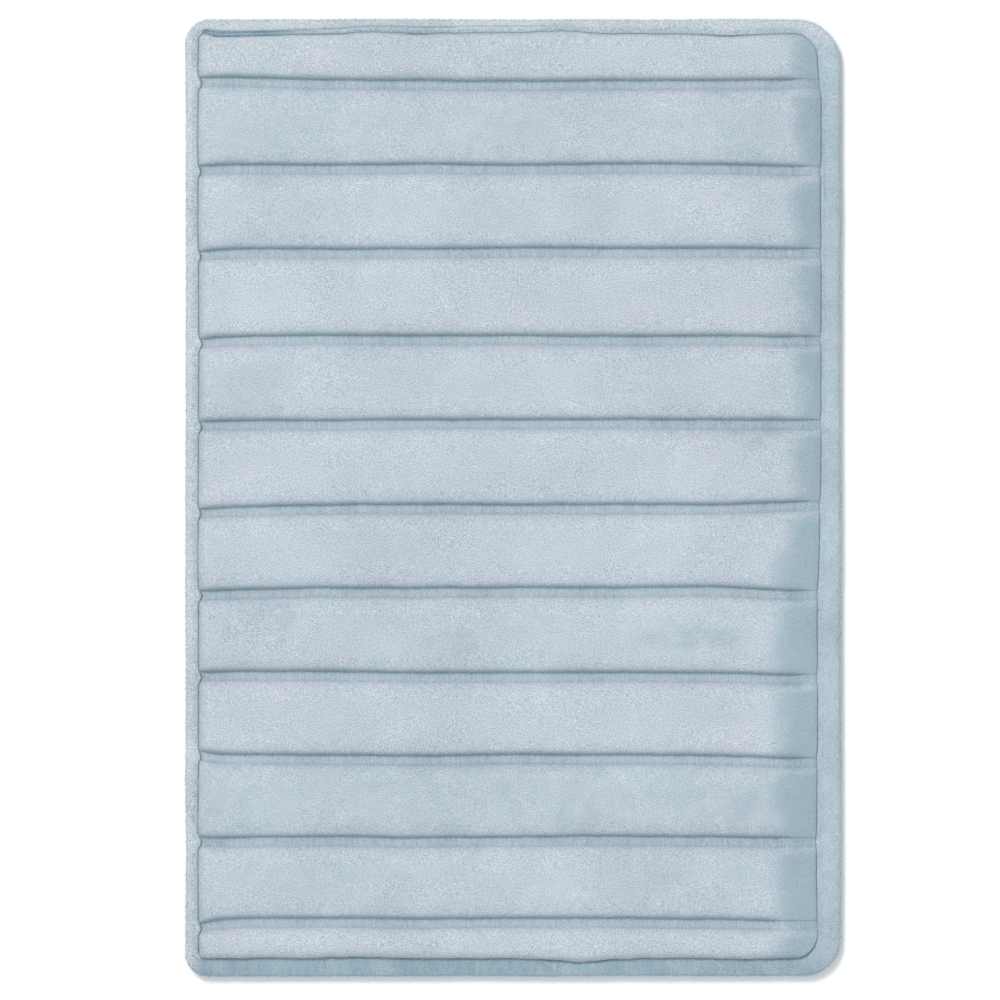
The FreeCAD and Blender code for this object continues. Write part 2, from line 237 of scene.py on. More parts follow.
def inside_corners(left, right, front, back):
    """Distance inwards from the seam, its corners rounded."""
    distance = np.minimum(np.minimum(left, right), np.minimum(front, back))
    pairs = [(right, front), (right, back), (left, back), (left, front)]
    for radius, (first, second) in zip(SEAM_CORNERS, pairs):
        in_corner = (first < radius) & (second < radius)
        rounded = radius - np.hypot(radius - first, radius - second)
        distance = np.where(in_corner, rounded, distance)
    return distance


def surface(x, y):
    """Height of the velour face at each place, and how hard the pile is flattened there, nought to one; the
    material also paints shade where it is flattened.
    """
    left = x - SEAM_LEFT - left_shift(y)
    right = SEAM_RIGHT - right_shift(y) - x
    front = y - SEAM_FRONT - front_shift(x)
    back = SEAM_BACK - back_shift(x) - y
    inside = inside_corners(left, right, front, back)

    slope_left = LEFT_SLOPE + ripple(3, x, y, 30 * MM, 30 * MM, 1.2 * MM)
    slope_right = RIGHT_SLOPE + ripple(4, x, y, 60 * MM, 21 * MM, 4 * MM)
    rounding = 1 - WALL_SHARE
    edge = WALL_SHARE * steep_edge((left - SEAM_FOOT) / LEFT_WALL)
    edge = edge + rounding * soft_edge((left - SEAM_FOOT) / slope_left)
    edge = edge * (WALL_SHARE * steep_edge((right - SEAM_FOOT) / RIGHT_WALL)
                   + rounding * smooth_step((right - SEAM_FOOT) / slope_right) ** 0.7)
    edge = edge * soft_edge((front - SEAM_FOOT) / FRONT_SLOPE) * steep_edge((back - SEAM_FOOT) / BACK_SLOPE)
    edge = np.minimum(edge, steep_edge((inside - SEAM_FOOT) / CORNER_SLOPE))
    edge = EDGE_START * smooth_step(inside / SEAM_FOOT) + (1 - EDGE_START) * edge

    wall = np.ones_like(x)
    floor = np.zeros_like(x)
    for k, line in enumerate(channel_lines):
        offset = y - line - channel_drift(k, x)
        behind = steep_edge((offset - FLOOR_BACK) / FRONT_EDGE_RUN)
        ahead = soft_edge((-offset - FLOOR_FRONT) / BACK_EDGE_RUN)
        fade = FADE_SHARE * smooth_step((RIGHT_FADE[k] * MM + 8 * MM - right) / FADE_RUN)
        side = np.where(offset > 0, behind, ahead)
        wall = np.minimum(wall, side + (1 - side) * fade)
        beyond = np.maximum(offset - FLOOR_BACK, -offset - FLOOR_FRONT)
        floor = np.maximum(floor, (1 - 0.5 * fade) * (1 - smooth_step(beyond / (0.7 * MM))))

    rise = edge * (FLOOR_RISE + (1 - FLOOR_RISE) * wall)
    soft = ripple(5, x, y, 42 * MM, 26 * MM, 0.22 * MM) + ripple(6, x, y, 13 * MM, 9 * MM, 0.09 * MM)
    height = DITCH + (CROWN - CROWN_DIP - DITCH) * rise + soft * rise
    # Flattened pile on the channel floors and along the seam; the material darkens it, partly as the pile's
    # own tone and partly as painted shade in these sunken places.
    pressed_and_shade = np.maximum(floor, 0.1 * (1 - smooth_step((inside - SEAM_FOOT) / (1.2 * MM))))
    return height, pressed_and_shade


# ---- how the pile lies, and painted shade on places turned from the light

BRUSHED_SPOTS = [
    # middle across, middle along, half width, half length (all in mm), strength
    (-150, -70, 34, 15, 0.45),
    (-40, -95, 24, 12, 0.5),
    (115, -92, 44, 10, 0.6),
    (150, -205, 30, 24, 0.5),
    (-160, 205, 22, 12, 0.3),
    (60, 262, 40, 9, 0.25),
    (-95, 95, 36, 12, 0.3),
    (160, 42, 30, 20, 0.35),
    (20, -190, 50, 14, 0.3),
    (-180, -240, 20, 14, 0.3),
]

# How much the pile of each bar lies over, front bar first.
BAR_NAP = [0.0, 0.25, 0.36, 0.1, 0.2, 0.2, 0.15, 0.2, 0.0, 0.2, 0.3, 0.15]
RIGHT_NAP_AND_SHADE_REACH = 16 * MM       # how far in from the right seam the pile lies over and painted shade darkens the right-facing slopes, and how soft that line is
RIGHT_NAP_AND_SHADE_SOFTNESS = 22 * MM
LEFT_END_SHADE = 0.45                 # strength and reach of painted shade at the left ends, beside the seam
LEFT_END_SHADE_REACH = 10 * MM
FRONT_EDGE_SHADE = 0.6                 # strength and reach of painted shade on the bars' front edges, which face away from the key light
FRONT_EDGE_SHADE_REACH = 2.6 * MM


def bar_tone(x, y):
    """The nap of the bar that each place is on."""
    tone = np.full_like(x, BAR_NAP[0])
    for k, line in enumerate(channel_lines):
        past = smooth_step((y - line - channel_drift(k, x)) / (3 * MM) + 0.5)
        tone = tone + (BAR_NAP[k + 1] - BAR_NAP[k]) * past
    # How far the pile lies over on the bar that each place is on.
    return tone


def nap_and_painted_shade(x, y):
    """Where the pile lies over and looks deeper in colour, and where shade is painted, nought to one.

    Painted shade falls on the bars' right ends, which slope away from the key light (together with pile lying
    over there), a little beside the left seam, and on the bars' front edges. The pile lies over in odd
    smudges and in some whole bars."""
    right = SEAM_RIGHT - right_shift(y) - x
    # The right ends: pile lying over, together with painted shade on the slopes turned away from the key
    # light.
    width = RIGHT_NAP_AND_SHADE_REACH + ripple(41, x, y, 70 * MM, 24 * MM, 6 * MM)
    width = width + 9 * MM * smooth_step((20 * MM - y) / (60 * MM))
    ends = np.clip((width - right) / RIGHT_NAP_AND_SHADE_SOFTNESS + 0.5, 0, 1)
    channel = np.zeros_like(x)
    front_shade = np.zeros_like(x)
    for k, line in enumerate(channel_lines):
        offset = y - line - channel_drift(k, x)
        near = smooth_step((offset + 9 * MM) / (3 * MM)) * smooth_step((4.5 * MM - offset) / (1.5 * MM))
        channel = np.maximum(channel, near)
        # Painted shade on each bar's front edge, which faces away from the key light.
        front_edge = bump_at(offset, FLOOR_BACK + 0.6 * MM, FRONT_EDGE_SHADE_REACH)
        front_shade = np.maximum(front_shade, FRONT_EDGE_SHADE * front_edge)
    ends = ends * (1 - 0.4 * channel)
    # Painted shade along the bars' left ends, beside the seam.
    left = x - SEAM_LEFT - left_shift(y)
    left_ends = LEFT_END_SHADE * (1 - smooth_step(left / LEFT_END_SHADE_REACH))
    ends = np.maximum(np.maximum(ends, left_ends), front_shade)
    smudge = np.zeros_like(x)
    for across, along, half_width, half_length, strength in BRUSHED_SPOTS:
        away = ((x / MM - across) / half_width) ** 2 + ((y / MM - along) / half_length) ** 2
        away = away + ripple(43, x, y, 11 * MM, 7 * MM, 0.5)
        smudge = np.maximum(smudge, strength * np.exp(-away))
    return np.clip(np.maximum(np.maximum(ends, smudge), bar_tone(x, y)), 0, 1)


# ---- grids that follow the channels

def spread(start, end, step):
    """Evenly spaced places from start up to, not including, end."""
    count = max(1, int(round((end - start) / step)))
    return list(np.linspace(start, end, count, endpoint=False))


SEAM_STEPS = [0.0, 0.1, 0.4, 0.8, 1.3]    # grid lines beside the seam, in mm
SEAM_BAND = 1.9 * MM                      # where the even grid lines take over
EDGE_BAND = 7 * MM                        # width of the finer rows along the front and back seams


def grid_columns(fine):
    """Places across the mat, closer together at both ends of the bars. A larger fine is coarser."""
    left_end = SEAM_LEFT + 12 * MM
    right_end = SEAM_RIGHT - 27 * MM
    columns = spread(cover_low[0], SEAM_LEFT, 2.2 * MM)
    columns += [SEAM_LEFT + step * MM for step in SEAM_STEPS]
    columns += spread(SEAM_LEFT + SEAM_BAND, left_end, 0.8 * MM * fine)
    columns += spread(left_end, right_end, 2.7 * MM * fine)
    columns += spread(right_end, SEAM_RIGHT - SEAM_BAND, 1.4 * MM * fine)
    columns += [SEAM_RIGHT - step * MM for step in reversed(SEAM_STEPS[1:])]
    columns += spread(SEAM_RIGHT, cover_high[0], 3.2 * MM)
    return np.array(columns + [cover_high[0]])


def grid_rows(ahead, behind, gap_step):
    """Places along the mat, closer together at the channels' walls.

    ahead and behind are distances from the channel floor's two edges, in mm."""
    rows = spread(cover_low[1], SEAM_FRONT, 3 * MM)
    rows += [SEAM_FRONT + step * MM for step in SEAM_STEPS]
    last = SEAM_FRONT + EDGE_BAND
    rows += spread(SEAM_FRONT + SEAM_BAND, last, 0.9 * MM)
    offsets = [-FLOOR_FRONT - step * MM for step in reversed(ahead)] + [-FLOOR_FRONT, 0.6 * MM]
    offsets += [FLOOR_BACK - 1.3 * MM, FLOOR_BACK - 0.5 * MM, FLOOR_BACK]
    offsets += [FLOOR_BACK + step * MM for step in behind]
    for line in channel_lines:
        rows += spread(last, line + offsets[0], gap_step)
        rows += [line + offset for offset in offsets[:-1]]
        last = line + offsets[-1]
    rows += spread(last, SEAM_BACK - EDGE_BAND, gap_step)
    rows += spread(SEAM_BACK - EDGE_BAND, SEAM_BACK - SEAM_BAND, 0.9 * MM)
    rows += [SEAM_BACK - step * MM for step in reversed(SEAM_STEPS[1:])]
    rows += spread(SEAM_BACK, cover_high[1], 2.5 * MM)
    return np.array(rows + [cover_high[1]])


def follow_lines(x, y):
    """Moves straight grid rows and columns onto the uneven channels and seams."""
    moved = np.zeros_like(y)
    hold = 14 * MM
    for k, line in enumerate(channel_lines):
        away = np.maximum(np.abs(y - line) - hold, 0)
        share = np.clip(1 - away / (CHANNEL_PITCH - 2 * hold), 0, 1)
        moved += channel_drift(k, x) * share
    seam_reach_in = 9 * MM
    moved *= smooth_step((y - SEAM_FRONT) / seam_reach_in) * smooth_step((SEAM_BACK - y) / seam_reach_in)
    moved += front_shift(x) * np.exp(-np.abs(y - SEAM_FRONT) / seam_reach_in)
    moved -= back_shift(x) * np.exp(-np.abs(SEAM_BACK - y) / seam_reach_in)
    moved_x = left_shift(y + moved) * np.exp(-np.abs(x - SEAM_LEFT) / (6 * MM))
    moved_x -= right_shift(y + moved) * np.exp(-np.abs(SEAM_RIGHT - x) / seam_reach_in)
    return x + moved_x, y + moved


def round_off(x, y, low, high, corners):
    """Bends a rectangular grid so that its outer edge runs round the corners."""
    places = [(high[0], low[1]), (high[0], high[1]), (low[0], high[1]), (low[0], low[1])]
    for radius, (corner_x, corner_y) in zip(corners, places):
        side_x = 1 if corner_x > 0 else -1
        side_y = 1 if corner_y > 0 else -1
        middle_x = corner_x - side_x * radius
        middle_y = corner_y - side_y * radius
        a = np.clip((x - middle_x) * side_x / radius, 0, 1)
        b = np.clip((y - middle_y) * side_y / radius, 0, 1)
        in_corner = (a > 0) & (b > 0)
        x = np.where(in_corner, middle_x + side_x * radius * a * np.sqrt(1 - b * b / 2), x)
        y = np.where(in_corner, middle_y + side_y * radius * b * np.sqrt(1 - a * a / 2), y)
    return x, y


def ring_place(ring, edge, seam, radius):
    """Where a ring lies, measured from the mat's middle.

    Ring 0 is the tucked edge, 1 the seam, and 2 runs through the middle of the seam's corner."""
    return np.where(ring < 1, edge - ring * (edge - seam), seam - (ring - 1) * radius)


def follow_corners(x, y):
    """Bends the cover's grid so that its lines run round the corners, both at its edge and at the seam."""
    corners = [(1, -1), (1, 1), (-1, 1), (-1, -1)]
    for (side_x, side_y), tucked, sewn in zip(corners, TUCKED_CORNERS, SEAM_CORNERS):
        edge_x, seam_x = (cover_high[0], SEAM_RIGHT) if side_x > 0 else (-cover_low[0], -SEAM_LEFT)
        edge_y, seam_y = (cover_high[1], SEAM_BACK) if side_y > 0 else (-cover_low[1], -SEAM_FRONT)
        u = x * side_x
        v = y * side_y
        ring_u = np.where(u > seam_x, (edge_x - u) / (edge_x - seam_x), 1 + (seam_x - u) / sewn)
        ring_v = np.where(v > seam_y, (edge_y - v) / (edge_y - seam_y), 1 + (seam_y - v) / sewn)
        ring = np.minimum(ring_u, ring_v)
        radius = np.where(ring < 1, tucked + (sewn - tucked) * ring, sewn * (2 - ring))
        radius = np.maximum(radius, 1e-9)
        corner_x = ring_place(ring, edge_x, seam_x, sewn)
        corner_y = ring_place(ring, edge_y, seam_y, sewn)
        beside = ring_u <= ring_v
        along = np.where(beside, corner_y - v, corner_x - u)
        in_corner = (ring < 2) & (along < radius)
        share = np.clip(along / radius, 0, 1)
        angle = np.where(beside, 1 - share, 1 + share) * math.pi / 4
        x = np.where(in_corner, side_x * (corner_x - radius + radius * np.cos(angle)), x)
        y = np.where(in_corner, side_y * (corner_y - radius + radius * np.sin(angle)), y)
    return x, y


def cover_grid(columns, rows):
    x, y = np.meshgrid(columns, rows)
    x, y = follow_lines(x, y)
    x = np.clip(x, cover_low[0], cover_high[0])
    y = np.clip(y, cover_low[1], cover_high[1])
    return follow_corners(x, y)


# ---- meshes

def new_piece(name, vertices, faces, smooth=True):
    mesh = bpy.data.meshes.new(name)
    mesh.from_pydata([tuple(point) for point in vertices], [], faces)
    mesh.validate()
    mesh.polygons.foreach_set("use_smooth", [smooth] * len(mesh.polygons))
    mesh.update()
    piece = bpy.data.objects.new(name, mesh)
    bpy.context.scene.collection.objects.link(piece)
    return piece


def add_mask(piece, name, values):
    """Stores one number for each vertex, for a material to read."""
    layer = piece.data.attributes.new(name, "FLOAT", "POINT")
    layer.data.foreach_set("value", np.asarray(values, dtype=np.float32))


def sheet_faces(row_count, column_count, first=0, upwards=True):
    faces = []
    for row in range(row_count - 1):
        for column in range(column_count - 1):
            a = first + row * column_count + column
            b = a + 1
            c = b + column_count
            d = a + column_count
            faces.append((a, b, c, d) if upwards else (d, c, b, a))
    return faces


def closed_slab(name, top, bottom_columns, bottom_offset):
    """A sheet with a top grid, an underside that has only some of its columns, and a rim between them.

    top is (rows, columns, 3); bottom_offset gives the underside's points for the kept columns."""
    rows, columns, _ = top.shape
    under = bottom_offset[:, bottom_columns, :]
    kept = len(bottom_columns)
    vertices = np.concatenate([top.reshape(-1, 3), under.reshape(-1, 3)])
    below = rows * columns
    faces = sheet_faces(rows, columns)
    faces += sheet_faces(rows, kept, below, upwards=False)
    for row, ahead in ((0, True), (rows - 1, False)):
        for number in range(kept - 1):
            span = range(bottom_columns[number], bottom_columns[number + 1] + 1)
            upper = [row * columns + column for column in span]
            lower = [below + row * kept + number, below + row * kept + number + 1]
            faces.append(tuple(lower + upper[::-1]) if ahead else tuple(lower[::-1] + upper))
    for row in range(rows - 1):
        for column, number, ahead in ((0, 0, True), (columns - 1, kept - 1, False)):
            a = row * columns + column
            b = a + columns
            c = below + (row + 1) * kept + number
            d = below + row * kept + number
            faces.append((a, b, c, d) if ahead else (d, c, b, a))
    return new_piece(name, vertices, faces)


def grid_normals(points):
    """Unit normals of a grid of points, upwards."""
    across = np.gradient(points, axis=1)
    along = np.gradient(points, axis=0)
    normals = np.cross(across, along)
    return normals / np.linalg.norm(normals, axis=2, keepdims=True)


# ---- settling the velour by cloth simulation

SETTLE_STEP = 4 * MM
SETTLE_CAP = 0.8 * MM
SETTLE_FRAMES = 20
SETTLE_SMOOTHING = 2
VELOUR_CLOTH = {
    "quality": 5,
    "mass": 0.25,
    "tension_stiffness": 12,
    "compression_stiffness": 12,
    "shear_stiffness": 6,
    "bending_stiffness": 0.4,
    "shrink_min": -0.006,
    "vertex_group_mass": "held",
    "use_pressure": True,
    "uniform_pressure_force": 4,
}


def settle_cover():
    """The velour, pinned along the channels and the seam and pushed up by the foam, as a cloth.

    Returns how far a coarse grid of points moves, with the grid's places."""
    columns = np.arange(SEAM_LEFT, SEAM_RIGHT + SETTLE_STEP, SETTLE_STEP)
    rows = np.arange(SEAM_FRONT, SEAM_BACK + SETTLE_STEP, SETTLE_STEP * 0.75)
    x, y = np.meshgrid(columns, rows)
    height, pressed_and_shade = surface(x, y)
    start = np.stack([x, y, height], axis=2)
    sheet = new_piece("settling_sheet", start.reshape(-1, 3), sheet_faces(*x.shape))
    pins = sheet.vertex_groups.new(name="held")
    rim = (height < DITCH + 0.5 * MM).ravel()
    held = np.maximum(np.clip(pressed_and_shade, 0, 1).ravel(), rim)
    for number in np.nonzero(held > 0.02)[0]:
        pins.add([int(number)], float(held[number]), "REPLACE")
    cloth = sheet.modifiers.new("Cloth", "CLOTH")
    for name, value in VELOUR_CLOTH.items():
        setattr(cloth.settings, name, value)
    cloth.settings.effector_weights.gravity = 0
    cloth.collision_settings.use_collision = False
    cloth.point_cache.frame_start = 1
    cloth.point_cache.frame_end = SETTLE_FRAMES
    scene = bpy.context.scene
    for number in range(1, SETTLE_FRAMES + 1):
        scene.frame_set(number)
    settled = sheet.evaluated_get(bpy.context.evaluated_depsgraph_get())
    points = np.empty(len(sheet.data.vertices) * 3)
    settled.data.vertices.foreach_get("co", points)
    moved = points.reshape(start.shape) - start
    for _ in range(SETTLE_SMOOTHING):
        moved[1:-1, 1:-1] = (moved[:-2, 1:-1] + moved[2:, 1:-1] + moved[1:-1, :-2] + moved[1:-1, 2:]) / 4
    length = np.linalg.norm(moved, axis=2, keepdims=True)
    moved *= np.minimum(1, SETTLE_CAP / np.maximum(length, 1e-9))
    bpy.data.objects.remove(sheet)
    scene.frame_set(1)
    return columns, rows, moved


def settled_by(settling, x, y):
    """The cloth's movement at each place, read off the coarse grid."""
    columns, rows, moved = settling
    column, u = cell_and_share(np.clip((x - columns[0]) / (columns[1] - columns[0]), 0, len(columns) - 1.001))
    row, v = cell_and_share(np.clip((y - rows[0]) / (rows[1] - rows[0]), 0, len(rows) - 1.001))
    return read_table(moved, row, column, v[..., None], u[..., None])


def cover_points(columns, rows, settling):
    """The face's points on a grid, with how hard the pile is flattened at each, which also marks painted
    shade.
    """
    x, y = cover_grid(columns, rows)
    height, pressed_and_shade = surface(x, y)
    points = np.stack([x, y, height], axis=2)
    inside_seam = (x > SEAM_LEFT) & (x < SEAM_RIGHT) & (y > SEAM_FRONT) & (y < SEAM_BACK)
    points += settled_by(settling, x, y) * (inside_seam & (pressed_and_shade < 0.98))[..., None]
    return points, pressed_and_shade


def below_face(points, depth):
    """The face's points moved in by depth, straight down on the tucked rim, and which ones are on it."""
    moved = points - grid_normals(points) * depth[..., None]
    on_rim = points[..., 2] < DITCH + 0.3 * MM
    moved[..., :2] = np.where(on_rim[..., None], points[..., :2], moved[..., :2])
    return moved, on_rim


# ---- velour cover

AHEAD_STEPS = [0.4, 0.9, 1.5, 2.3, 3.3, 4.7, 6.5, 8.7, 11]
BEHIND_STEPS = [0.08, 0.2, 0.4, 0.75, 1.3, 2.1, 3.3, 4.9, 7, 9.5]
PILE_THICKNESS = 2.5 * MM
RIM_THICKNESS = 2.4 * MM


def make_cover(settling):
    columns = grid_columns(1.0)
    rows = grid_rows(AHEAD_STEPS, BEHIND_STEPS, 4 * MM)
    points, pressed_and_shade = cover_points(columns, rows, settling)
    thickness = PILE_THICKNESS + (RIM_THICKNESS - PILE_THICKNESS) * pressed_and_shade
    under, _ = below_face(points, thickness)
    under[..., 2] = np.maximum(under[..., 2], cover_low[2] + 0.05 * MM)
    count = len(columns)
    left_end, right_end = 20, count - 26
    kept = {*range(0, left_end, 2), *range(left_end, right_end, 6), *range(right_end, count, 3)}
    kept = sorted(kept | {count - 1})
    cover = closed_slab("velour_cover_face", points, kept, under)
    underneath = np.zeros(len(rows) * len(kept))
    for name, mask in (("pressed_and_shade", pressed_and_shade), ("lying_pile_and_shade", nap_and_painted_shade(points[..., 0], points[..., 1]))):
        add_mask(cover, name, np.concatenate([mask.ravel(), underneath]))
    return cover


# ---- foam core

FOAM_GAP = 0.12 * MM
FOAM_STEPS = [1.2, 2.4, 4.4, 7.4, 11]


def make_foam(settling):
    columns = grid_columns(2.6)
    rows = grid_rows(FOAM_STEPS, FOAM_STEPS, 9 * MM)
    points, pressed_and_shade = cover_points(columns, rows, settling)
    thickness = PILE_THICKNESS + (RIM_THICKNESS - PILE_THICKNESS) * pressed_and_shade + FOAM_GAP
    top, on_rim = below_face(points, thickness + 0.5 * MM * (1 - pressed_and_shade))
    top[..., 2] = np.clip(top[..., 2], foam_low[2] + 1.0 * MM, foam_high[2])
    top[..., 2] = np.where(on_rim, cover_low[2] - 0.1 * MM, top[..., 2])
    under = top.copy()
    under[..., 2] = foam_low[2] + 0.05 * MM
    kept = sorted({*range(0, len(columns), 3), len(columns) - 1})
    return closed_slab("foam_core_slab", top, kept, under)


# ---- base cloth

def make_base_cloth():
    columns = np.linspace(cloth_low[0], cloth_high[0], 71)
    rows = np.linspace(cloth_low[1], cloth_high[1], 104)
    x, y = np.meshgrid(columns, rows)
    x, y = round_off(x, y, cloth_low, cloth_high, TUCKED_CORNERS)
    sag = ripple(8, x, y, 35 * MM, 35 * MM, 0.06 * MM)
    heights = (cloth_high[2] - 0.08 * MM, cloth_low[2] + 0.08 * MM)
    top, under = (np.stack([x, y, height + sag], axis=2) for height in heights)
    return closed_slab("base_cloth_mesh", top, list(range(len(columns))), under)


# ---- outline stations for the binding

SIDE_STATION = 1.6 * MM
CORNER_STATIONS = 22


def stations():
    """Where round the mat each station is: (side or corner, number, share of the way along it)."""
    width = binding_high[0] - binding_low[0]
    length = binding_high[1] - binding_low[1]
    places = []
    for number, span in enumerate([length, width, length, width]):
        count = int(span / SIDE_STATION)
        places += [("side", number, step / count) for step in range(count)]
        places += [("corner", number, step / CORNER_STATIONS) for step in range(CORNER_STATIONS)]
    return places


def outline(places, low, high, corners):
    """Points and outward directions of a rounded rectangle at the stations.

    Side 0 is the right one, front to back; then come the back, left and front sides."""
    front_right, back_right, back_left, front_left = corners
    sides = [
        ((high[0], low[1] + front_right), (high[0], high[1] - back_right)),
        ((high[0] - back_right, high[1]), (low[0] + back_left, high[1])),
        ((low[0], high[1] - back_left), (low[0], low[1] + front_left)),
        ((low[0] + front_left, low[1]), (high[0] - front_right, low[1])),
    ]
    middles = [
        (high[0] - back_right, high[1] - back_right, back_right),
        (low[0] + back_left, high[1] - back_left, back_left),
        (low[0] + front_left, low[1] + front_left, front_left),
        (high[0] - front_right, low[1] + front_right, front_right),
    ]
    points = []
    directions = []
    for kind, number, share in places:
        if kind == "side":
            (x0, y0), (x1, y1) = sides[number]
            angle = number * math.pi / 2
            points.append((x0 + (x1 - x0) * share, y0 + (y1 - y0) * share))
        else:
            x, y, radius = middles[number]
            angle = (number + share) * math.pi / 2
            points.append((x + radius * math.cos(angle), y + radius * math.sin(angle)))
        directions.append((math.cos(angle), math.sin(angle)))
    return np.array(points), np.array(directions)


def straight_seam(places, inset=0.0):
    """The seam at the stations without its unevenness, moved in by inset."""
    low = (SEAM_LEFT + inset, SEAM_FRONT + inset)
    return outline(places, low, (SEAM_RIGHT - inset, SEAM_BACK - inset), SEAM_CORNERS)


def seam_points(places, inset=0.0):
    """The uneven seam at the stations, moved in by inset."""
    points, outward = straight_seam(places)
    # For each side, its shift and the axis that it runs along.
    shifts = [(right_shift, 1), (back_shift, 0), (left_shift, 1), (front_shift, 0)]
    for number, (kind, side, _) in enumerate(places):
        shift = inset
        if kind == "side":
            side_shift, axis = shifts[side]
            shift += float(side_shift(points[number, axis]))
        points[number] -= outward[number] * shift
    return points, outward


# ---- edge binding

# Section of the folded strip: its place across, nought at the seam and one at the mat's edge, and its rise,
# nought at the ditch and one at the strip's top.
ROLL_ACROSS = [0.0, 0.02, 0.07, 0.15, 0.26, 0.4, 0.55, 0.7, 0.84, 0.93, 0.975, 0.995, 1.0, 0.99, 0.955, 0.9]
ROLL_RISE = [0.72, 0.78, 0.85, 0.91, 0.96, 1.0, 1.0, 0.98, 0.93, 0.82, 0.58, 0.15, -0.7, -1.25, -1.7, -2.05]
ROLL_SAMPLES = 34
LIP_OVERLAP = 0.3 * MM          # how far the strip's inner edge laps over the foot of the bars

# Where the roll is highest on each side, right, back, left and front, as a share of its width.
ROLL_PEAKS = [0.42, 0.6, 0.66, 0.4]
ROLL_MIDDLE = 0.48
LOWER_LAP = 4 * MM              # how far the lower leg runs on past the seam

FOLD_DEPTH = 1.3 * MM           # the crease of the back's second fold
GAP_SINK = 0.8                  # how far the strip sinks where the gap is open, as a share of its height
RIGHT_RIDGE = 0.25 * MM         # fine ridges along the right and front of the strip
FRONT_RIDGE = 0.35 * MM
OVERLAP_RISE = 0.7 * MM         # the hump where the strip's ends lap over each other
OVERLAP_CREASE = 0.9 * MM       # and the crease beside it


def roll_section():
    """The visible part of the section as evenly spaced points: across, and rise above the ditch."""
    across = np.array(ROLL_ACROSS)
    rise = np.array(ROLL_RISE)
    along = np.concatenate([[0], np.cumsum(np.hypot(np.diff(across) * 3, np.diff(rise)))])
    places = np.linspace(0, along[-1], ROLL_SAMPLES)
    soft_across = np.interp(places, along, across)
    soft_rise = np.interp(places, along, rise)
    for _ in range(2):
        soft_across[1:-1] = (soft_across[:-2] + 2 * soft_across[1:-1] + soft_across[2:]) / 4
        soft_rise[1:-1] = (soft_rise[:-2] + 2 * soft_rise[1:-1] + soft_rise[2:]) / 4
    return soft_across, soft_rise


def side_share(places, side):
    """One along a side, fading to nought round the corners at its two ends."""
    shares = []
    for kind, number, share in places:
        if kind == "side":
            shares.append(1.0 if number == side else 0.0)
        elif number == side:
            shares.append(1 - share)
        elif number == (side - 1) % 4:
            shares.append(share)
        else:
            shares.append(0.0)
    return smooth_step(np.array(shares))


def second_fold(x):
    """Along the back, from left of the middle to the middle, the strip is folded over twice."""
    return smooth_step((x + 148 * MM) / (30 * MM)) * smooth_step((36 * MM - x) / (26 * MM))


def open_gap(x):
    """Left of the second fold the strip stands off the seam and leaves a dark gap."""
    return smooth_step((-112 * MM - x) / (46 * MM)) * smooth_step((x + 206 * MM) / (8 * MM))


def roll_heights(a, lift, across, places, x, ring_x, ring_y):
    """How high one line of the strip lies all round.

    a and lift are its place in the section and its rise; across is its real share of the width, all round."""
    plump = 1 + ripple(21, ring_x, ring_y, 55 * MM, 55 * MM, 0.08)
    right, back, left, front = (side_share(places, side) for side in range(4))
    height = DITCH + (STRIP_TOP - DITCH - 0.2 * MM) * lift * (plump if lift > 0 else np.ones_like(x))
    if lift <= 0:
        return height
    belly = math.sin(math.pi * min(a, 1.0))
    fold_line = 0.3 + 0.13 * smooth_step((x + 130 * MM) / (40 * MM)) + wander(25, x, 22 * MM, 0.03)
    height = height - FOLD_DEPTH * second_fold(x) * back * bump_at(across, fold_line, 0.06)
    sunk = open_gap(x) * back * (1 - smooth_step((across - 0.24) / 0.12))
    height = DITCH + (height - DITCH) * (1 - GAP_SINK * sunk)
    height = height + right * RIGHT_RIDGE * (bump_at(across, 0.15, 0.04) - 1.3 * bump_at(across, 0.27, 0.07))
    height = height + front * FRONT_RIDGE * bump_at(across, 0.9, 0.03)
    from_left = smooth_step((x - 20 * MM - a * 9 * MM) / (1.2 * MM))
    from_right = smooth_step((60 * MM + a * 7 * MM - x) / (1.2 * MM))
    crease = bump_at(x, 14 * MM + a * 16 * MM, 1.6 * MM)
    height = height + (OVERLAP_RISE * from_left * from_right - OVERLAP_CREASE * crease) * front * belly
    lumps = ripple(23, ring_x + a * 9 * MM, ring_y - a * 7 * MM, 9 * MM, 9 * MM, 0.2 * MM)
    dents = ripple(24, ring_x - a * 7 * MM, ring_y + a * 9 * MM, 24 * MM, 24 * MM, 0.3 * MM)
    return height + (lumps * (1 + 0.8 * front) + dents) * belly


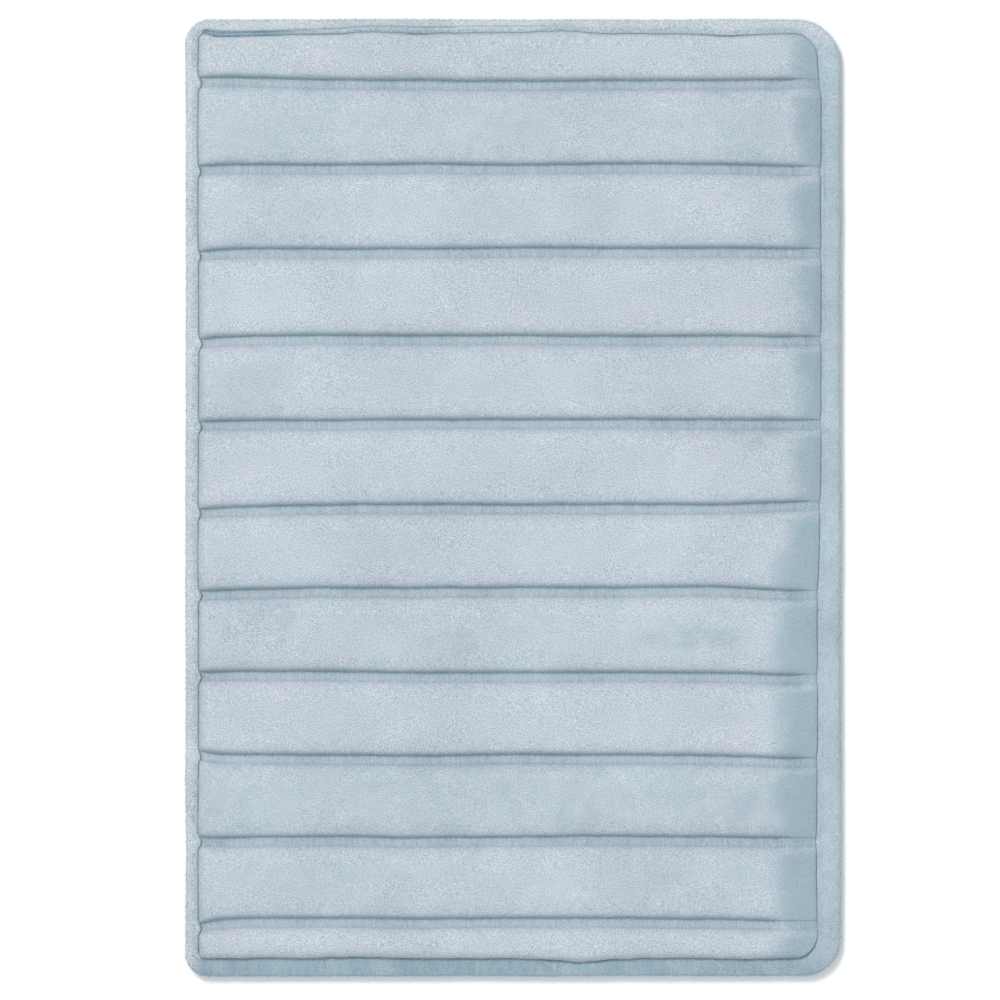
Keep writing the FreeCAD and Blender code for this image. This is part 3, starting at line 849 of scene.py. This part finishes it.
def make_binding():
    """The folded strip, closed all the way round. Also gives its visible lines of points."""
    places = stations()
    outer, outward = outline(places, binding_low, binding_high, OUTER_CORNERS)
    seam, _ = seam_points(places)
    lap, _ = straight_seam(places, LOWER_LAP)
    under_seam, _ = straight_seam(places)
    count = len(places)
    run = np.concatenate([[0], np.cumsum(np.linalg.norm(np.diff(outer, axis=0), axis=1))])
    round_trip = run[-1] + np.linalg.norm(outer[0] - outer[-1])
    turn = run / round_trip * 2 * math.pi
    # Unevenness is read off along a circle, so that the strip closes without a step.
    ring_x = np.cos(turn) * round_trip / (2 * math.pi)
    ring_y = np.sin(turn) * round_trip / (2 * math.pi)

    across, rise = roll_section()
    edge_wave = ripple(22, ring_x, ring_y, 48 * MM, 48 * MM, 0.35 * MM) + 0.2 * MM
    edge_wave = edge_wave + 0.7 * MM * side_share(places, 2) - 0.7 * MM * side_share(places, 0)
    x = outer[:, 0]
    peak = sum(ROLL_PEAKS[side] * side_share(places, side) for side in range(4))
    total = sum(side_share(places, side) for side in range(4))
    lean = np.log(peak / total) / math.log(ROLL_MIDDLE)

    shown = []
    pressed_and_shade = []
    gap_shade = []
    for a, lift in zip(across, rise):
        leaning = np.minimum(a, 1.0) ** lean
        spot = seam + (outer - seam) * leaning[:, None]
        spot = spot + outward * (edge_wave * leaning)[:, None]
        spot = spot - outward * LIP_OVERLAP * max(0.0, 1 - a / 0.1)
        height = roll_heights(a, lift, leaning, places, x, ring_x, ring_y)
        shown.append(np.column_stack([spot, np.maximum(height, 0.05 * MM)]))
        # Painted shade: in the open gap, along the strip's edge at the seam (with its flattened pile), and
        # over the whole front side, which faces away from the key light and lies in the bars' shadow.
        in_gap = open_gap(x) * side_share(places, 1) * (1 - smooth_step((leaning - 0.26) / 0.1))
        pressed_and_shade.append(0.1 * math.exp(-a / 0.06) + 0.5 * in_gap + 0.8 * side_share(places, 3))
        gap_shade.append(0.5 * in_gap * (0.8 + 0.4 * smooth_step((0.2 - leaning) / 0.1)))

    leg_top = cloth_low[2] - 0.05 * MM
    inner_fold = TUCK + 0.15 * MM
    groove_top = 0.7 * MM
    underside = [
        (outer - outward * 1.6 * MM, 0.35 * MM),
        (outer - outward * 2.8 * MM, 0.0),
        ((outer + under_seam) / 2, 0.0),
        (under_seam + outward * 0.1 * MM, 0.0),
        (under_seam - outward * 0.05 * MM, groove_top),
        (under_seam - outward * 0.75 * MM, groove_top),
        (under_seam - outward * 0.9 * MM, 0.0),
        ((under_seam + lap) / 2, 0.0),
        (lap + outward * 0.3 * MM, 0.02 * MM),
        (lap, 0.4 * MM),
        (lap + outward * 0.1 * MM, leg_top),
        (under_seam, leg_top),
        (outer - outward * inner_fold, leg_top),
        (outer - outward * inner_fold, DITCH + 0.02 * MM),
    ]
    hidden = [np.column_stack([spot, np.full(count, height)]) for spot, height in underside]
    lines = shown + hidden
    faces = []
    for ring in range(len(lines)):
        following = (ring + 1) % len(lines)
        for station in range(count):
            ahead = (station + 1) % count
            places_round = [(ring, station), (following, station), (following, ahead), (ring, ahead)]
            faces.append([line * count + place for line, place in places_round])
    binding = new_piece("edge_binding_strip", np.concatenate(lines), faces)
    for name, mask in (("pressed_and_shade", pressed_and_shade), ("gap_shade", gap_shade)):
        add_mask(binding, name, np.concatenate(mask + [np.zeros(count * len(hidden))]))
    # Painted shade, unevenly mottled, over the strip's front side and, more lightly, its right side: both
    # face away from the key light.
    lying_pile_and_shade = side_share(places, 3) * (0.78 + ripple(26, ring_x, ring_y, 12 * MM, 12 * MM, 0.3))
    lying_pile_and_shade = lying_pile_and_shade + side_share(places, 0) * 0.55
    add_mask(binding, "lying_pile_and_shade", np.tile(lying_pile_and_shade, len(lines)))
    return binding, np.array(shown), outward


# ---- node helpers

class Builder:
    """Adds nodes to a tree. A socket is given either a plain value or another node's output."""

    def __init__(self, tree):
        self.tree = tree

    def give(self, node, inputs):
        for name, value in inputs.items():
            socket = node.inputs[name]
            if isinstance(value, bpy.types.NodeSocket):
                self.tree.links.new(value, socket)
            else:
                socket.default_value = value

    def add(self, kind, inputs=None, **settings):
        node = self.tree.nodes.new(kind)
        for name, value in settings.items():
            setattr(node, name, value)
        self.give(node, inputs or {})
        return node

    def math(self, operation, *values):
        return self.add("ShaderNodeMath", dict(enumerate(values)), operation=operation).outputs["Value"]

    def place(self):
        return self.add("ShaderNodeTexCoord").outputs["Object"]

    def noise(self, place, scale, detail=2.0, roughness=0.5):
        inputs = {"Vector": place, "Scale": scale, "Detail": detail, "Roughness": roughness}
        return self.add("ShaderNodeTexNoise", inputs).outputs["Fac"]

    def mix(self, factor, first, second, blend="MIX"):
        inputs = {"Factor": factor, "A": first, "B": second}
        return self.add("ShaderNodeMix", inputs, data_type="RGBA", blend_type=blend).outputs["Result"]

    def bump(self, height, strength, distance):
        inputs = {"Strength": strength, "Distance": distance, "Height": height}
        return self.add("ShaderNodeBump", inputs).outputs["Normal"]


TUFT_SEED = 7


def scatter_tree(name, shape, shape_inputs, sizes, material, axis, uneven):
    """A tree that puts a shape at every vertex: sized, turned along the "aim" attribute, made real.

    sizes lists each input's name, the axes that it sizes, and its value."""
    tree = bpy.data.node_groups.new(name, "GeometryNodeTree")
    for way in ("INPUT", "OUTPUT"):
        tree.interface.new_socket(name="Geometry", in_out=way, socket_type="NodeSocketGeometry")
    values = {}
    for label, _, value in sizes:
        item = tree.interface.new_socket(name=label, in_out="INPUT", socket_type="NodeSocketFloat")
        item.default_value = value
        values[item.identifier] = value
    build = Builder(tree)
    source = build.add("NodeGroupInput").outputs
    solid = build.add(shape, shape_inputs)
    size = build.add("ShaderNodeCombineXYZ", {way: source[label] for label, ways, _ in sizes for way in ways})
    sized = build.add("GeometryNodeTransform", {
        "Geometry": solid.outputs["Mesh"],
        "Scale": size.outputs["Vector"],
    })
    placing = {"Points": source["Geometry"], "Instance": sized.outputs["Geometry"]}
    if axis:
        aim = build.add("GeometryNodeInputNamedAttribute", {"Name": "aim"}, data_type="FLOAT_VECTOR")
        turn = build.add("FunctionNodeAlignRotationToVector", {"Vector": aim.outputs["Attribute"]}, axis=axis)
        placing["Rotation"] = turn.outputs["Rotation"]
    if uneven:
        least, most = uneven
        vary = build.add("FunctionNodeRandomValue", {2: least, 3: most, "Seed": TUFT_SEED}, data_type="FLOAT")
        placing["Scale"] = vary.outputs[1]
    place = build.add("GeometryNodeInstanceOnPoints", placing)
    real = build.add("GeometryNodeRealizeInstances", {"Geometry": place.outputs["Instances"]})
    finish = build.add("GeometryNodeSetMaterial", {
        "Geometry": real.outputs["Geometry"],
        "Material": material,
    })
    build.add("NodeGroupOutput", {"Geometry": finish.outputs["Geometry"]})
    return tree, values


def scatter(name, tree_name, places, shape, shape_inputs, sizes, material,
            aim=None, axis=None, uneven=None, lying_pile_and_shade=None):
    """Puts a shape at every place, and keeps them all as one plain mesh piece."""
    seeds = new_piece(f"{name}_seeds", places, [])
    if aim is not None:
        layer = seeds.data.attributes.new("aim", "FLOAT_VECTOR", "POINT")
        layer.data.foreach_set("vector", np.asarray(aim, dtype=np.float32).ravel())
    if lying_pile_and_shade is not None:
        add_mask(seeds, "lying_pile_and_shade", lying_pile_and_shade)
    tree, values = scatter_tree(tree_name, shape, shape_inputs, sizes, material, axis, uneven)
    modifier = seeds.modifiers.new("grow", "NODES")
    modifier.node_group = tree
    for identifier, value in values.items():
        modifier[identifier] = value
    seeds.update_tag()
    bpy.context.view_layer.update()
    evaluated = seeds.evaluated_get(bpy.context.evaluated_depsgraph_get())
    mesh = bpy.data.meshes.new_from_object(evaluated)
    mesh.name = name
    seeds.modifiers.remove(modifier)
    bpy.data.objects.remove(seeds)
    piece = bpy.data.objects.new(name, mesh)
    bpy.context.scene.collection.objects.link(piece)
    return piece


# ---- grip dots

DOT_PITCH = 14 * MM
DOT_RADIUS = 2.5 * MM
LABEL_MARGIN = 4.5 * MM


def dot_places():
    """Centres of the dots: the CAD grid, without those under the label and in the two round corners."""
    first_x, first_y = dots_low[0] + DOT_RADIUS, dots_low[1] + DOT_RADIUS
    columns, rows = (
        int(round((dots_high[axis] - dots_low[axis] - 2 * DOT_RADIUS) / DOT_PITCH)) + 1 for axis in (0, 1))
    places = []
    for row in range(rows):
        for column in range(columns):
            x = first_x + column * DOT_PITCH
            y = first_y + row * DOT_PITCH
            under_label = (x > label_low[0] - LABEL_MARGIN
                           and label_low[1] - LABEL_MARGIN < y < label_high[1] + LABEL_MARGIN)
            corner = column == columns - 1 and row in (0, rows - 1)
            if not under_label and not corner:
                places.append((x, y, cloth_low[2] + 0.06 * MM))
    return places


def make_dots(material):
    """A domed dot of grip compound at every place, sunk a little into the cloth."""
    ball = {"Segments": 12, "Rings": 8, "Radius": 1.0}
    sizes = [("Radius", "XY", DOT_RADIUS), ("Height", "Z", cloth_low[2] + 0.04 * MM)]
    return scatter("grip_dots_printed", "grip_dot_print", dot_places(), "GeometryNodeMeshUVSphere", ball,
                   sizes, material)


# ---- pile fringe

def grow_tufts(name, places, leans, lying_pile_and_shade, material, width, length):
    """A tapered tuft of pile at every place, leaning its own way."""
    cone = {"Vertices": 4, "Side Segments": 1, "Radius Top": 0.0, "Radius Bottom": 1.0, "Depth": 1.0}
    sizes = [("Width", "XY", width), ("Length", "Z", length)]
    return scatter(name, "pile_tufts", places, "GeometryNodeMeshCone", cone, sizes, material,
                   aim=leans, axis="Z", uneven=(0.6, 1.25), lying_pile_and_shade=lying_pile_and_shade)


TUFT_SPACING = 0.25 * MM


def make_cover_fringe(settling, material):
    """Tufts that hang over the front edge of every bar, and over the seam along the front and back."""
    rng = np.random.default_rng(77)
    places = []
    leans = []
    edges = [(line, FLOOR_BACK, -1, k) for k, line in enumerate(channel_lines)]
    edges += [(SEAM_FRONT, 0.3 * MM, -1, None), (SEAM_BACK, -0.3 * MM, 1, None)]
    for line, reach, way, k in edges:
        x = np.arange(SEAM_LEFT + 3 * MM, SEAM_RIGHT - 6 * MM, TUFT_SPACING)
        x = x + rng.uniform(-0.5, 0.5, len(x)) * 2 * TUFT_SPACING
        if k is None:
            drift = front_shift(x) if way < 0 else -back_shift(x)
        else:
            drift = channel_drift(k, x)
            keep = x < SEAM_RIGHT - (12 + 10 * rng.random(len(x))) * MM
            x, drift = x[keep], drift[keep]
        back_off = rng.uniform(0.1, 1.3, len(x)) ** 1.3 * MM
        y = line + drift + reach - way * back_off
        height, _ = surface(x, y)
        spots = np.stack([x, y, height - 0.15 * MM], axis=1)
        places.append(spots + settled_by(settling, x, y))
        sideways = rng.normal(0, 0.35, len(x))
        leans.append(np.stack([sideways, np.full(len(x), 0.9 * way), rng.uniform(-0.1, 0.6, len(x))], axis=1))
    places = np.concatenate(places)
    lying_pile_and_shade = nap_and_painted_shade(places[:, 0], places[:, 1])
    return grow_tufts("cover_pile_fringe", places, np.concatenate(leans), lying_pile_and_shade, material,
                      0.2 * MM, 0.85 * MM)


STRIP_TUFTS = 16000


def make_strip_fringe(shown, outward, material):
    """Tufts along the strip's outer edge and its edge at the seam."""
    rng = np.random.default_rng(78)
    lines, count, _ = shown.shape
    station = rng.integers(0, count, STRIP_TUFTS)
    at_edge = rng.random(STRIP_TUFTS) < 0.72
    outer_line = rng.integers(lines - 20, lines - 9, STRIP_TUFTS)
    line = np.where(at_edge, outer_line, rng.integers(2, 7, STRIP_TUFTS))
    share = rng.random(STRIP_TUFTS)[:, None]
    following = (station + 1) % count
    places = shown[line, station] * (1 - share) + shown[line, following] * share
    way = np.where(at_edge, 1.0, -0.8)[:, None]
    flat = outward[station] * way + rng.normal(0, 0.3, (STRIP_TUFTS, 2))
    outer_up = rng.uniform(-0.2, 0.5, STRIP_TUFTS)
    up = np.where(at_edge, outer_up, rng.uniform(0.2, 0.7, STRIP_TUFTS))
    return grow_tufts("strip_pile_fringe", places, np.column_stack([flat, up]), np.zeros(STRIP_TUFTS),
                      material, 0.15 * MM, 0.95 * MM)


# ---- stitches

STITCH_LENGTH = 3.1 * MM
STITCH_OVERLAP = 1.04       # each stitch is a little longer than its share of the seam


def make_stitches(name, path, height, material):
    """One round of short rounded stitches along a closed path of points, end to end."""
    closed = np.vstack([path, path[:1]])
    run = np.concatenate([[0], np.cumsum(np.linalg.norm(np.diff(closed, axis=0), axis=1))])
    count = int(run[-1] / STITCH_LENGTH)
    middles = (np.arange(count) + 0.5) * run[-1] / count
    x, y = (np.interp(middles, run, closed[:, axis]) for axis in (0, 1))
    ahead_x, ahead_y = (np.interp(middles + 0.2 * MM, run, closed[:, axis]) for axis in (0, 1))
    ball = {"Segments": 8, "Rings": 8, "Radius": 1.0}
    half_length = float(STITCH_OVERLAP / 2 * run[-1] / count)
    sizes = [("Half Length", "X", half_length), ("Thickness", "YZ", THREAD_RADIUS)]
    return scatter(name, "lockstitch", np.column_stack([x, y, np.full(count, height)]),
                   "GeometryNodeMeshUVSphere", ball, sizes, material,
                   aim=np.column_stack([ahead_x - x, ahead_y - y, np.zeros(count)]), axis="X")


# ---- care label

def make_label():
    """A blank woven label, flat against the cloth, its free end a little thicker and wavy below."""
    columns = np.linspace(label_low[0], label_high[0], 30)
    rows = np.linspace(label_low[1], label_high[1], 22)
    x, y = np.meshgrid(columns, rows)
    wave = ripple(9, x, y, 9 * MM, 9 * MM, 0.04 * MM)
    free = 1 - smooth_step((x - label_low[0]) / (30 * MM))
    height = label_high[2] - 0.02 * MM
    top = np.stack([x, y, np.full_like(x, height)], axis=2)
    drop = 0.22 * MM + 0.12 * MM * free + wave * free
    under = np.stack([x, y, height - drop], axis=2)
    return closed_slab("care_label_blank", top, list(range(len(columns))), under)


# ---- materials

def shader_group(name, inputs, outputs):
    """A shader node group. Gives its builder and the outputs of its input node."""
    group = bpy.data.node_groups.new(name, "ShaderNodeTree")
    for label, kind, value in inputs:
        item = group.interface.new_socket(name=label, in_out="INPUT", socket_type=f"NodeSocket{kind}")
        item.default_value = value
    for label, kind in outputs:
        group.interface.new_socket(name=label, in_out="OUTPUT", socket_type=f"NodeSocket{kind}")
    build = Builder(group)
    return build, build.add("NodeGroupInput").outputs


TUFT_SCALE = 1300.0


def pile_group():
    """Cut pile: tufts with dark gaps, clouds where it lies differently, patches where it lies over, and
    painted shade.

    Puts out a colour and a height."""
    colours = [(label, "Color", (0.5, 0.5, 0.5, 1)) for label in ("Warm Tip", "Cool Tip", "Root")]
    masks = [(label, "Float", 0.0) for label in ("Pressed_And_Shade", "Lying_Pile_And_Shade", "Gap_Shade")]
    others = [("Cloud Depth", "Float", 0.3), ("Tuft Scale", "Float", TUFT_SCALE)]
    outputs = [("Color", "Color"), ("Height", "Float")]
    build, given = shader_group("cut_pile", colours + masks + others, outputs)
    place = build.place()
    tufts = build.noise(place, given["Tuft Scale"], 1.0, 0.6)
    height = build.math("MULTIPLY", build.math("SUBTRACT", tufts, 0.5), 1.7)
    clouds = build.math("SUBTRACT", build.noise(place, 15.0, 4.0, 0.6), 0.5)
    clouds = build.math("MULTIPLY", clouds, given["Cloud Depth"])
    drawn_out = build.add("ShaderNodeMapping", {"Vector": place, "Scale": (1.0, 0.14, 0.3)})
    streaks = build.math("SUBTRACT", build.noise(drawn_out.outputs["Vector"], 620.0, 1.0, 0.5), 0.5)
    streaks = build.math("MULTIPLY", build.math("MULTIPLY", streaks, given["Pressed_And_Shade"]), 0.4)
    # Flattened pile and painted shade lean the mix towards the root colour.
    pressed_and_shade = build.math("MULTIPLY", given["Pressed_And_Shade"], -0.1)

    # Where pile lies over and where shade is painted, with a ragged edge.
    ragged = build.math("SUBTRACT", build.noise(place, 110.0, 4.0, 0.6), 0.5)
    ragged = build.math("MULTIPLY_ADD", ragged, 0.55, given["Lying_Pile_And_Shade"])
    lying_pile_and_shade = build.add("ShaderNodeMapRange", {"Value": ragged, "From Min": 0.05, "From Max": 0.95},
                        interpolation_type="SMOOTHSTEP").outputs["Result"]
    flattened = build.math("MAXIMUM", build.math("MULTIPLY", given["Pressed_And_Shade"], 0.6), lying_pile_and_shade)
    calm = build.math("MULTIPLY_ADD", flattened, -0.55, 1.0)
    mix = build.math("ADD", build.math("MULTIPLY", height, calm), 0.5)
    for part in (clouds, streaks, pressed_and_shade):
        mix = build.math("ADD", mix, part)
    mix.node.use_clamp = True

    hue_clouds = build.noise(place, 34.0, 3.0, 0.6)
    hue = build.add("ShaderNodeMapRange", {"Value": hue_clouds, "From Min": 0.38, "From Max": 0.62})
    tip = build.mix(hue.outputs["Result"], given["Warm Tip"], given["Cool Tip"])
    pile = build.mix(mix, given["Root"], tip)
    # Darkening: pile lying over, together with painted shade on slopes and sides turned from the key light;
    # flattened pile, partly painted shade in the sunken channels and seams; painted shade in the strip's open
    # gap.
    shades = [
        (lying_pile_and_shade, (0.66, 0.77, 0.81, 1)),
        (given["Pressed_And_Shade"], (0.87, 0.92, 0.935, 1)),
        (given["Gap_Shade"], (0.36, 0.62, 0.72, 1)),
    ]
    for amount, colour in shades:
        pile = build.mix(amount, pile, colour, blend="MULTIPLY")
    build.add("NodeGroupOutput", {"Color": pile, "Height": height})
    return build.tree


def new_material(name):
    material = bpy.data.materials.new(name)
    material.use_nodes = True
    return material, Builder(material.node_tree), material.node_tree.nodes["Principled BSDF"]


def velour_material(name, pile, warm_tip, cool_tip, root, cloud_depth, sheen):
    material, build, shader = new_material(name)
    fur = build.add("ShaderNodeGroup", node_tree=pile)
    for mask in ("Pressed_And_Shade", "Lying_Pile_And_Shade", "Gap_Shade"):
        attribute = build.add("ShaderNodeAttribute", attribute_name=mask.lower())
        build.give(fur, {mask: attribute.outputs["Fac"]})
    build.give(fur, {
        "Warm Tip": (*warm_tip, 1),
        "Cool Tip": (*cool_tip, 1),
        "Root": (*root, 1),
        "Cloud Depth": cloud_depth,
    })
    build.give(shader, {
        "Base Color": fur.outputs["Color"],
        "Roughness": 0.85,
        "Specular IOR Level": 0.2,
        "Sheen Weight": sheen,
        "Sheen Roughness": 0.45,
        "Sheen Tint": (0.86, 0.93, 1.0, 1),
        "Normal": build.bump(fur.outputs["Height"], 0.4, 0.4 * MM),
    })
    return material


def patterned_material(name, pattern, scale, height, patches, dark, light, roughness, bump, **settings):
    """A material with a pattern as relief, and two tones mixed by soft patches or by the pattern itself.

    patches gives the soft patches' scale and detail, if there are any."""
    material, build, shader = new_material(name)
    place = build.place()
    texture = build.add(pattern, {"Vector": place, "Scale": scale}, **settings)
    amount = build.noise(place, *patches) if patches else texture.outputs[height]
    build.give(shader, {
        "Base Color": build.mix(amount, (*dark, 1), (*light, 1)),
        "Roughness": roughness,
        "Normal": build.bump(texture.outputs[height], *bump),
    })
    return material


def weave_group():
    """Plain weave from two crossing wave patterns. Puts out thread height and a shade mask."""
    build, given = shader_group(
        "plain_weave", [("Threads", "Float", 800.0)], [("Height", "Float"), ("Shade", "Float")])
    split = build.add("ShaderNodeSeparateXYZ", {"Vector": build.place()}).outputs
    waves = [build.math("SINE", build.math("MULTIPLY", split[axis], given["Threads"])) for axis in "XY"]
    product = build.math("MULTIPLY", *waves)
    ridges = build.math("ADD", *[build.math("MULTIPLY", wave, wave) for wave in waves])
    build.add("NodeGroupOutput", {
        "Height": build.math("MULTIPLY_ADD", product, 0.5, ridges),
        "Shade": build.math("MULTIPLY_ADD", product, 0.5, 0.5),
    })
    return build.tree


def woven_material(name, weave, threads, light, dark, roughness, depth):
    material, build, shader = new_material(name)
    cloth = build.add("ShaderNodeGroup", node_tree=weave)
    build.give(cloth, {"Threads": threads})
    patches = build.math("MULTIPLY", build.noise(build.place(), 60.0, 3.0), 0.4)
    shade = build.math("MULTIPLY_ADD", cloth.outputs["Shade"], 0.6, patches)
    build.give(shader, {
        "Base Color": build.mix(shade, (*dark, 1), (*light, 1)),
        "Roughness": roughness,
        "Normal": build.bump(cloth.outputs["Height"], 0.6, depth),
    })
    return material


# ---- studio

VIEW_HEIGHT = 6.0
FRAME_WIDTH = 0.6496
VIEW_CENTRE = (-9.3 * MM, -1.3 * MM)
SENSOR = 36.0
FLOOR_REACH = 6.0
LIGHTS = [
    # name, place, size, power, colour
    ("key", (-2.2, 3.2, 5.6), 2.4, 322, (1.0, 0.98, 0.955)),
    ("fill", (2.4, -2.4, 2.2), 2.0, 40, (0.95, 0.985, 1.0)),
    ("overhead", (-0.9, -0.5, 3.2), 3.0, 22, (0.95, 0.985, 1.0)),
]


def make_camera():
    camera = bpy.data.cameras.new("camera")
    camera.sensor_width = SENSOR
    camera.lens = SENSOR * (VIEW_HEIGHT - STRIP_TOP) / FRAME_WIDTH
    camera.clip_end = 50
    holder = bpy.data.objects.new("camera", camera)
    holder.location = (*VIEW_CENTRE, VIEW_HEIGHT)
    bpy.context.scene.collection.objects.link(holder)
    bpy.context.scene.camera = holder


def make_light(name, place, size, power, colour):
    """A round lamp at a place, shining on the middle of the mat."""
    lamp = bpy.data.lights.new(name, "AREA")
    lamp.shape = "DISK"
    lamp.size = size
    lamp.energy = power
    lamp.color = colour
    holder = bpy.data.objects.new(name, lamp)
    holder.location = place
    holder.rotation_euler = (-Vector(place)).to_track_quat("-Z", "Y").to_euler()
    bpy.context.scene.collection.objects.link(holder)


def make_studio():
    reach = FLOOR_REACH
    corners = [(-reach, -reach, 0), (reach, -reach, 0), (reach, reach, 0), (-reach, reach, 0)]
    floor = new_piece("floor", corners, [(0, 1, 2, 3)], smooth=False)
    paper, build, shader = new_material("studio_paper")
    build.give(shader, {"Base Color": (0.9, 0.9, 0.9, 1), "Roughness": 0.9, "Specular IOR Level": 0.1})
    floor.data.materials.append(paper)
    for light in LIGHTS:
        make_light(*light)
    world = bpy.data.worlds.new("studio_air")
    bpy.context.scene.world = world
    world.use_nodes = True
    sky = world.node_tree.nodes["Background"]
    sky.inputs["Color"].default_value = (0.93, 0.98, 1.0, 1)
    sky.inputs["Strength"].default_value = 0.43
    bpy.context.scene.view_settings.view_transform = "Standard"


# ---- assembly

make_camera()
make_studio()

pile = pile_group()
weave = weave_group()
velour = velour_material(
    "velour_face", pile, (0.69, 0.71, 0.77), (0.65, 0.71, 0.76), (0.225, 0.285, 0.34), 0.4, 0.3)
# The strip's tips are a little lighter than the face's: painted light for its top side, which faces the key
# light.
strip_velour = velour_material(
    "velour_strip", pile, (0.72, 0.755, 0.815), (0.68, 0.75, 0.8), (0.21, 0.272, 0.318), 0.7, 0.7)
mesh_cloth = woven_material(
    "base_cloth_weave", weave, 2200.0, (0.62, 0.67, 0.7), (0.33, 0.38, 0.42), 0.8, 0.25 * MM)
label_weave = woven_material(
    "label_satin", weave, 5200.0, (0.9, 0.9, 0.88), (0.72, 0.73, 0.72), 0.5, 0.06 * MM)
# Open-cell foam: fine pores, yellower in patches.
foam_cells = patterned_material(
    "memory_foam_cells", "ShaderNodeTexVoronoi", 900.0, "Distance", (40.0, 3.0),
    (0.78, 0.7, 0.5), (0.9, 0.86, 0.72), 0.9, (0.6, 0.4 * MM))
# Printed PVC: slightly mottled, with a faint orange-peel skin.
grip_pvc = patterned_material(
    "grip_dot_pvc", "ShaderNodeTexNoise", 1400.0, "Fac", (90.0, 2.0),
    (0.62, 0.68, 0.72), (0.78, 0.82, 0.84), 0.38, (0.25, 0.1 * MM))
# Twisted polyester: slanting plies along the strand.
thread_twist = patterned_material(
    "sewing_thread_twist", "ShaderNodeTexWave", 900.0, "Fac", None,
    (0.36, 0.45, 0.51), (0.5, 0.58, 0.63), 0.45, (0.4, 0.08 * MM),
    wave_type="BANDS", bands_direction="DIAGONAL")

settling = settle_cover()
cover = make_cover(settling)
foam = make_foam(settling)
base_cloth = make_base_cloth()
binding, strip_lines, strip_outward = make_binding()
cover_fringe = make_cover_fringe(settling, velour)
strip_fringe = make_strip_fringe(strip_lines, strip_outward, strip_velour)
dots = make_dots(grip_pvc)
needle_path, _ = seam_points(stations(), THREAD_INSET)
needle = make_stitches("needle_thread_stitches", needle_path, DITCH + THREAD_RADIUS, thread_twist)
bobbin_path, _ = straight_seam(stations(), THREAD_INSET)
bobbin = make_stitches("bobbin_thread_stitches", bobbin_path, THREAD_RADIUS + 0.05 * MM, thread_twist)
label = make_label()

FINISHES = [
    # piece, material (none where the nodes have set it), slot, CAD node that it stands for
    (cover, velour, "velour", "velour_cover"),
    (cover_fringe, None, "velour", "velour_cover"),
    (foam, foam_cells, "memory_foam", "foam_core"),
    (base_cloth, mesh_cloth, "mesh_cloth", "base_cloth"),
    (binding, strip_velour, "binding_velour", "edge_binding"),
    (strip_fringe, None, "binding_velour", "edge_binding"),
    (dots, None, "grip_compound", "grip_dots"),
    (needle, None, "sewing_thread", "needle_thread"),
    (bobbin, None, "sewing_thread", "bobbin_thread"),
    (label, label_weave, "label_cloth", "care_label"),
]
for piece, material, slot, node in FINISHES:
    if material is not None:
        piece.data.materials.clear()
        piece.data.materials.append(material)
    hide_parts(node)
    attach(piece, "root")
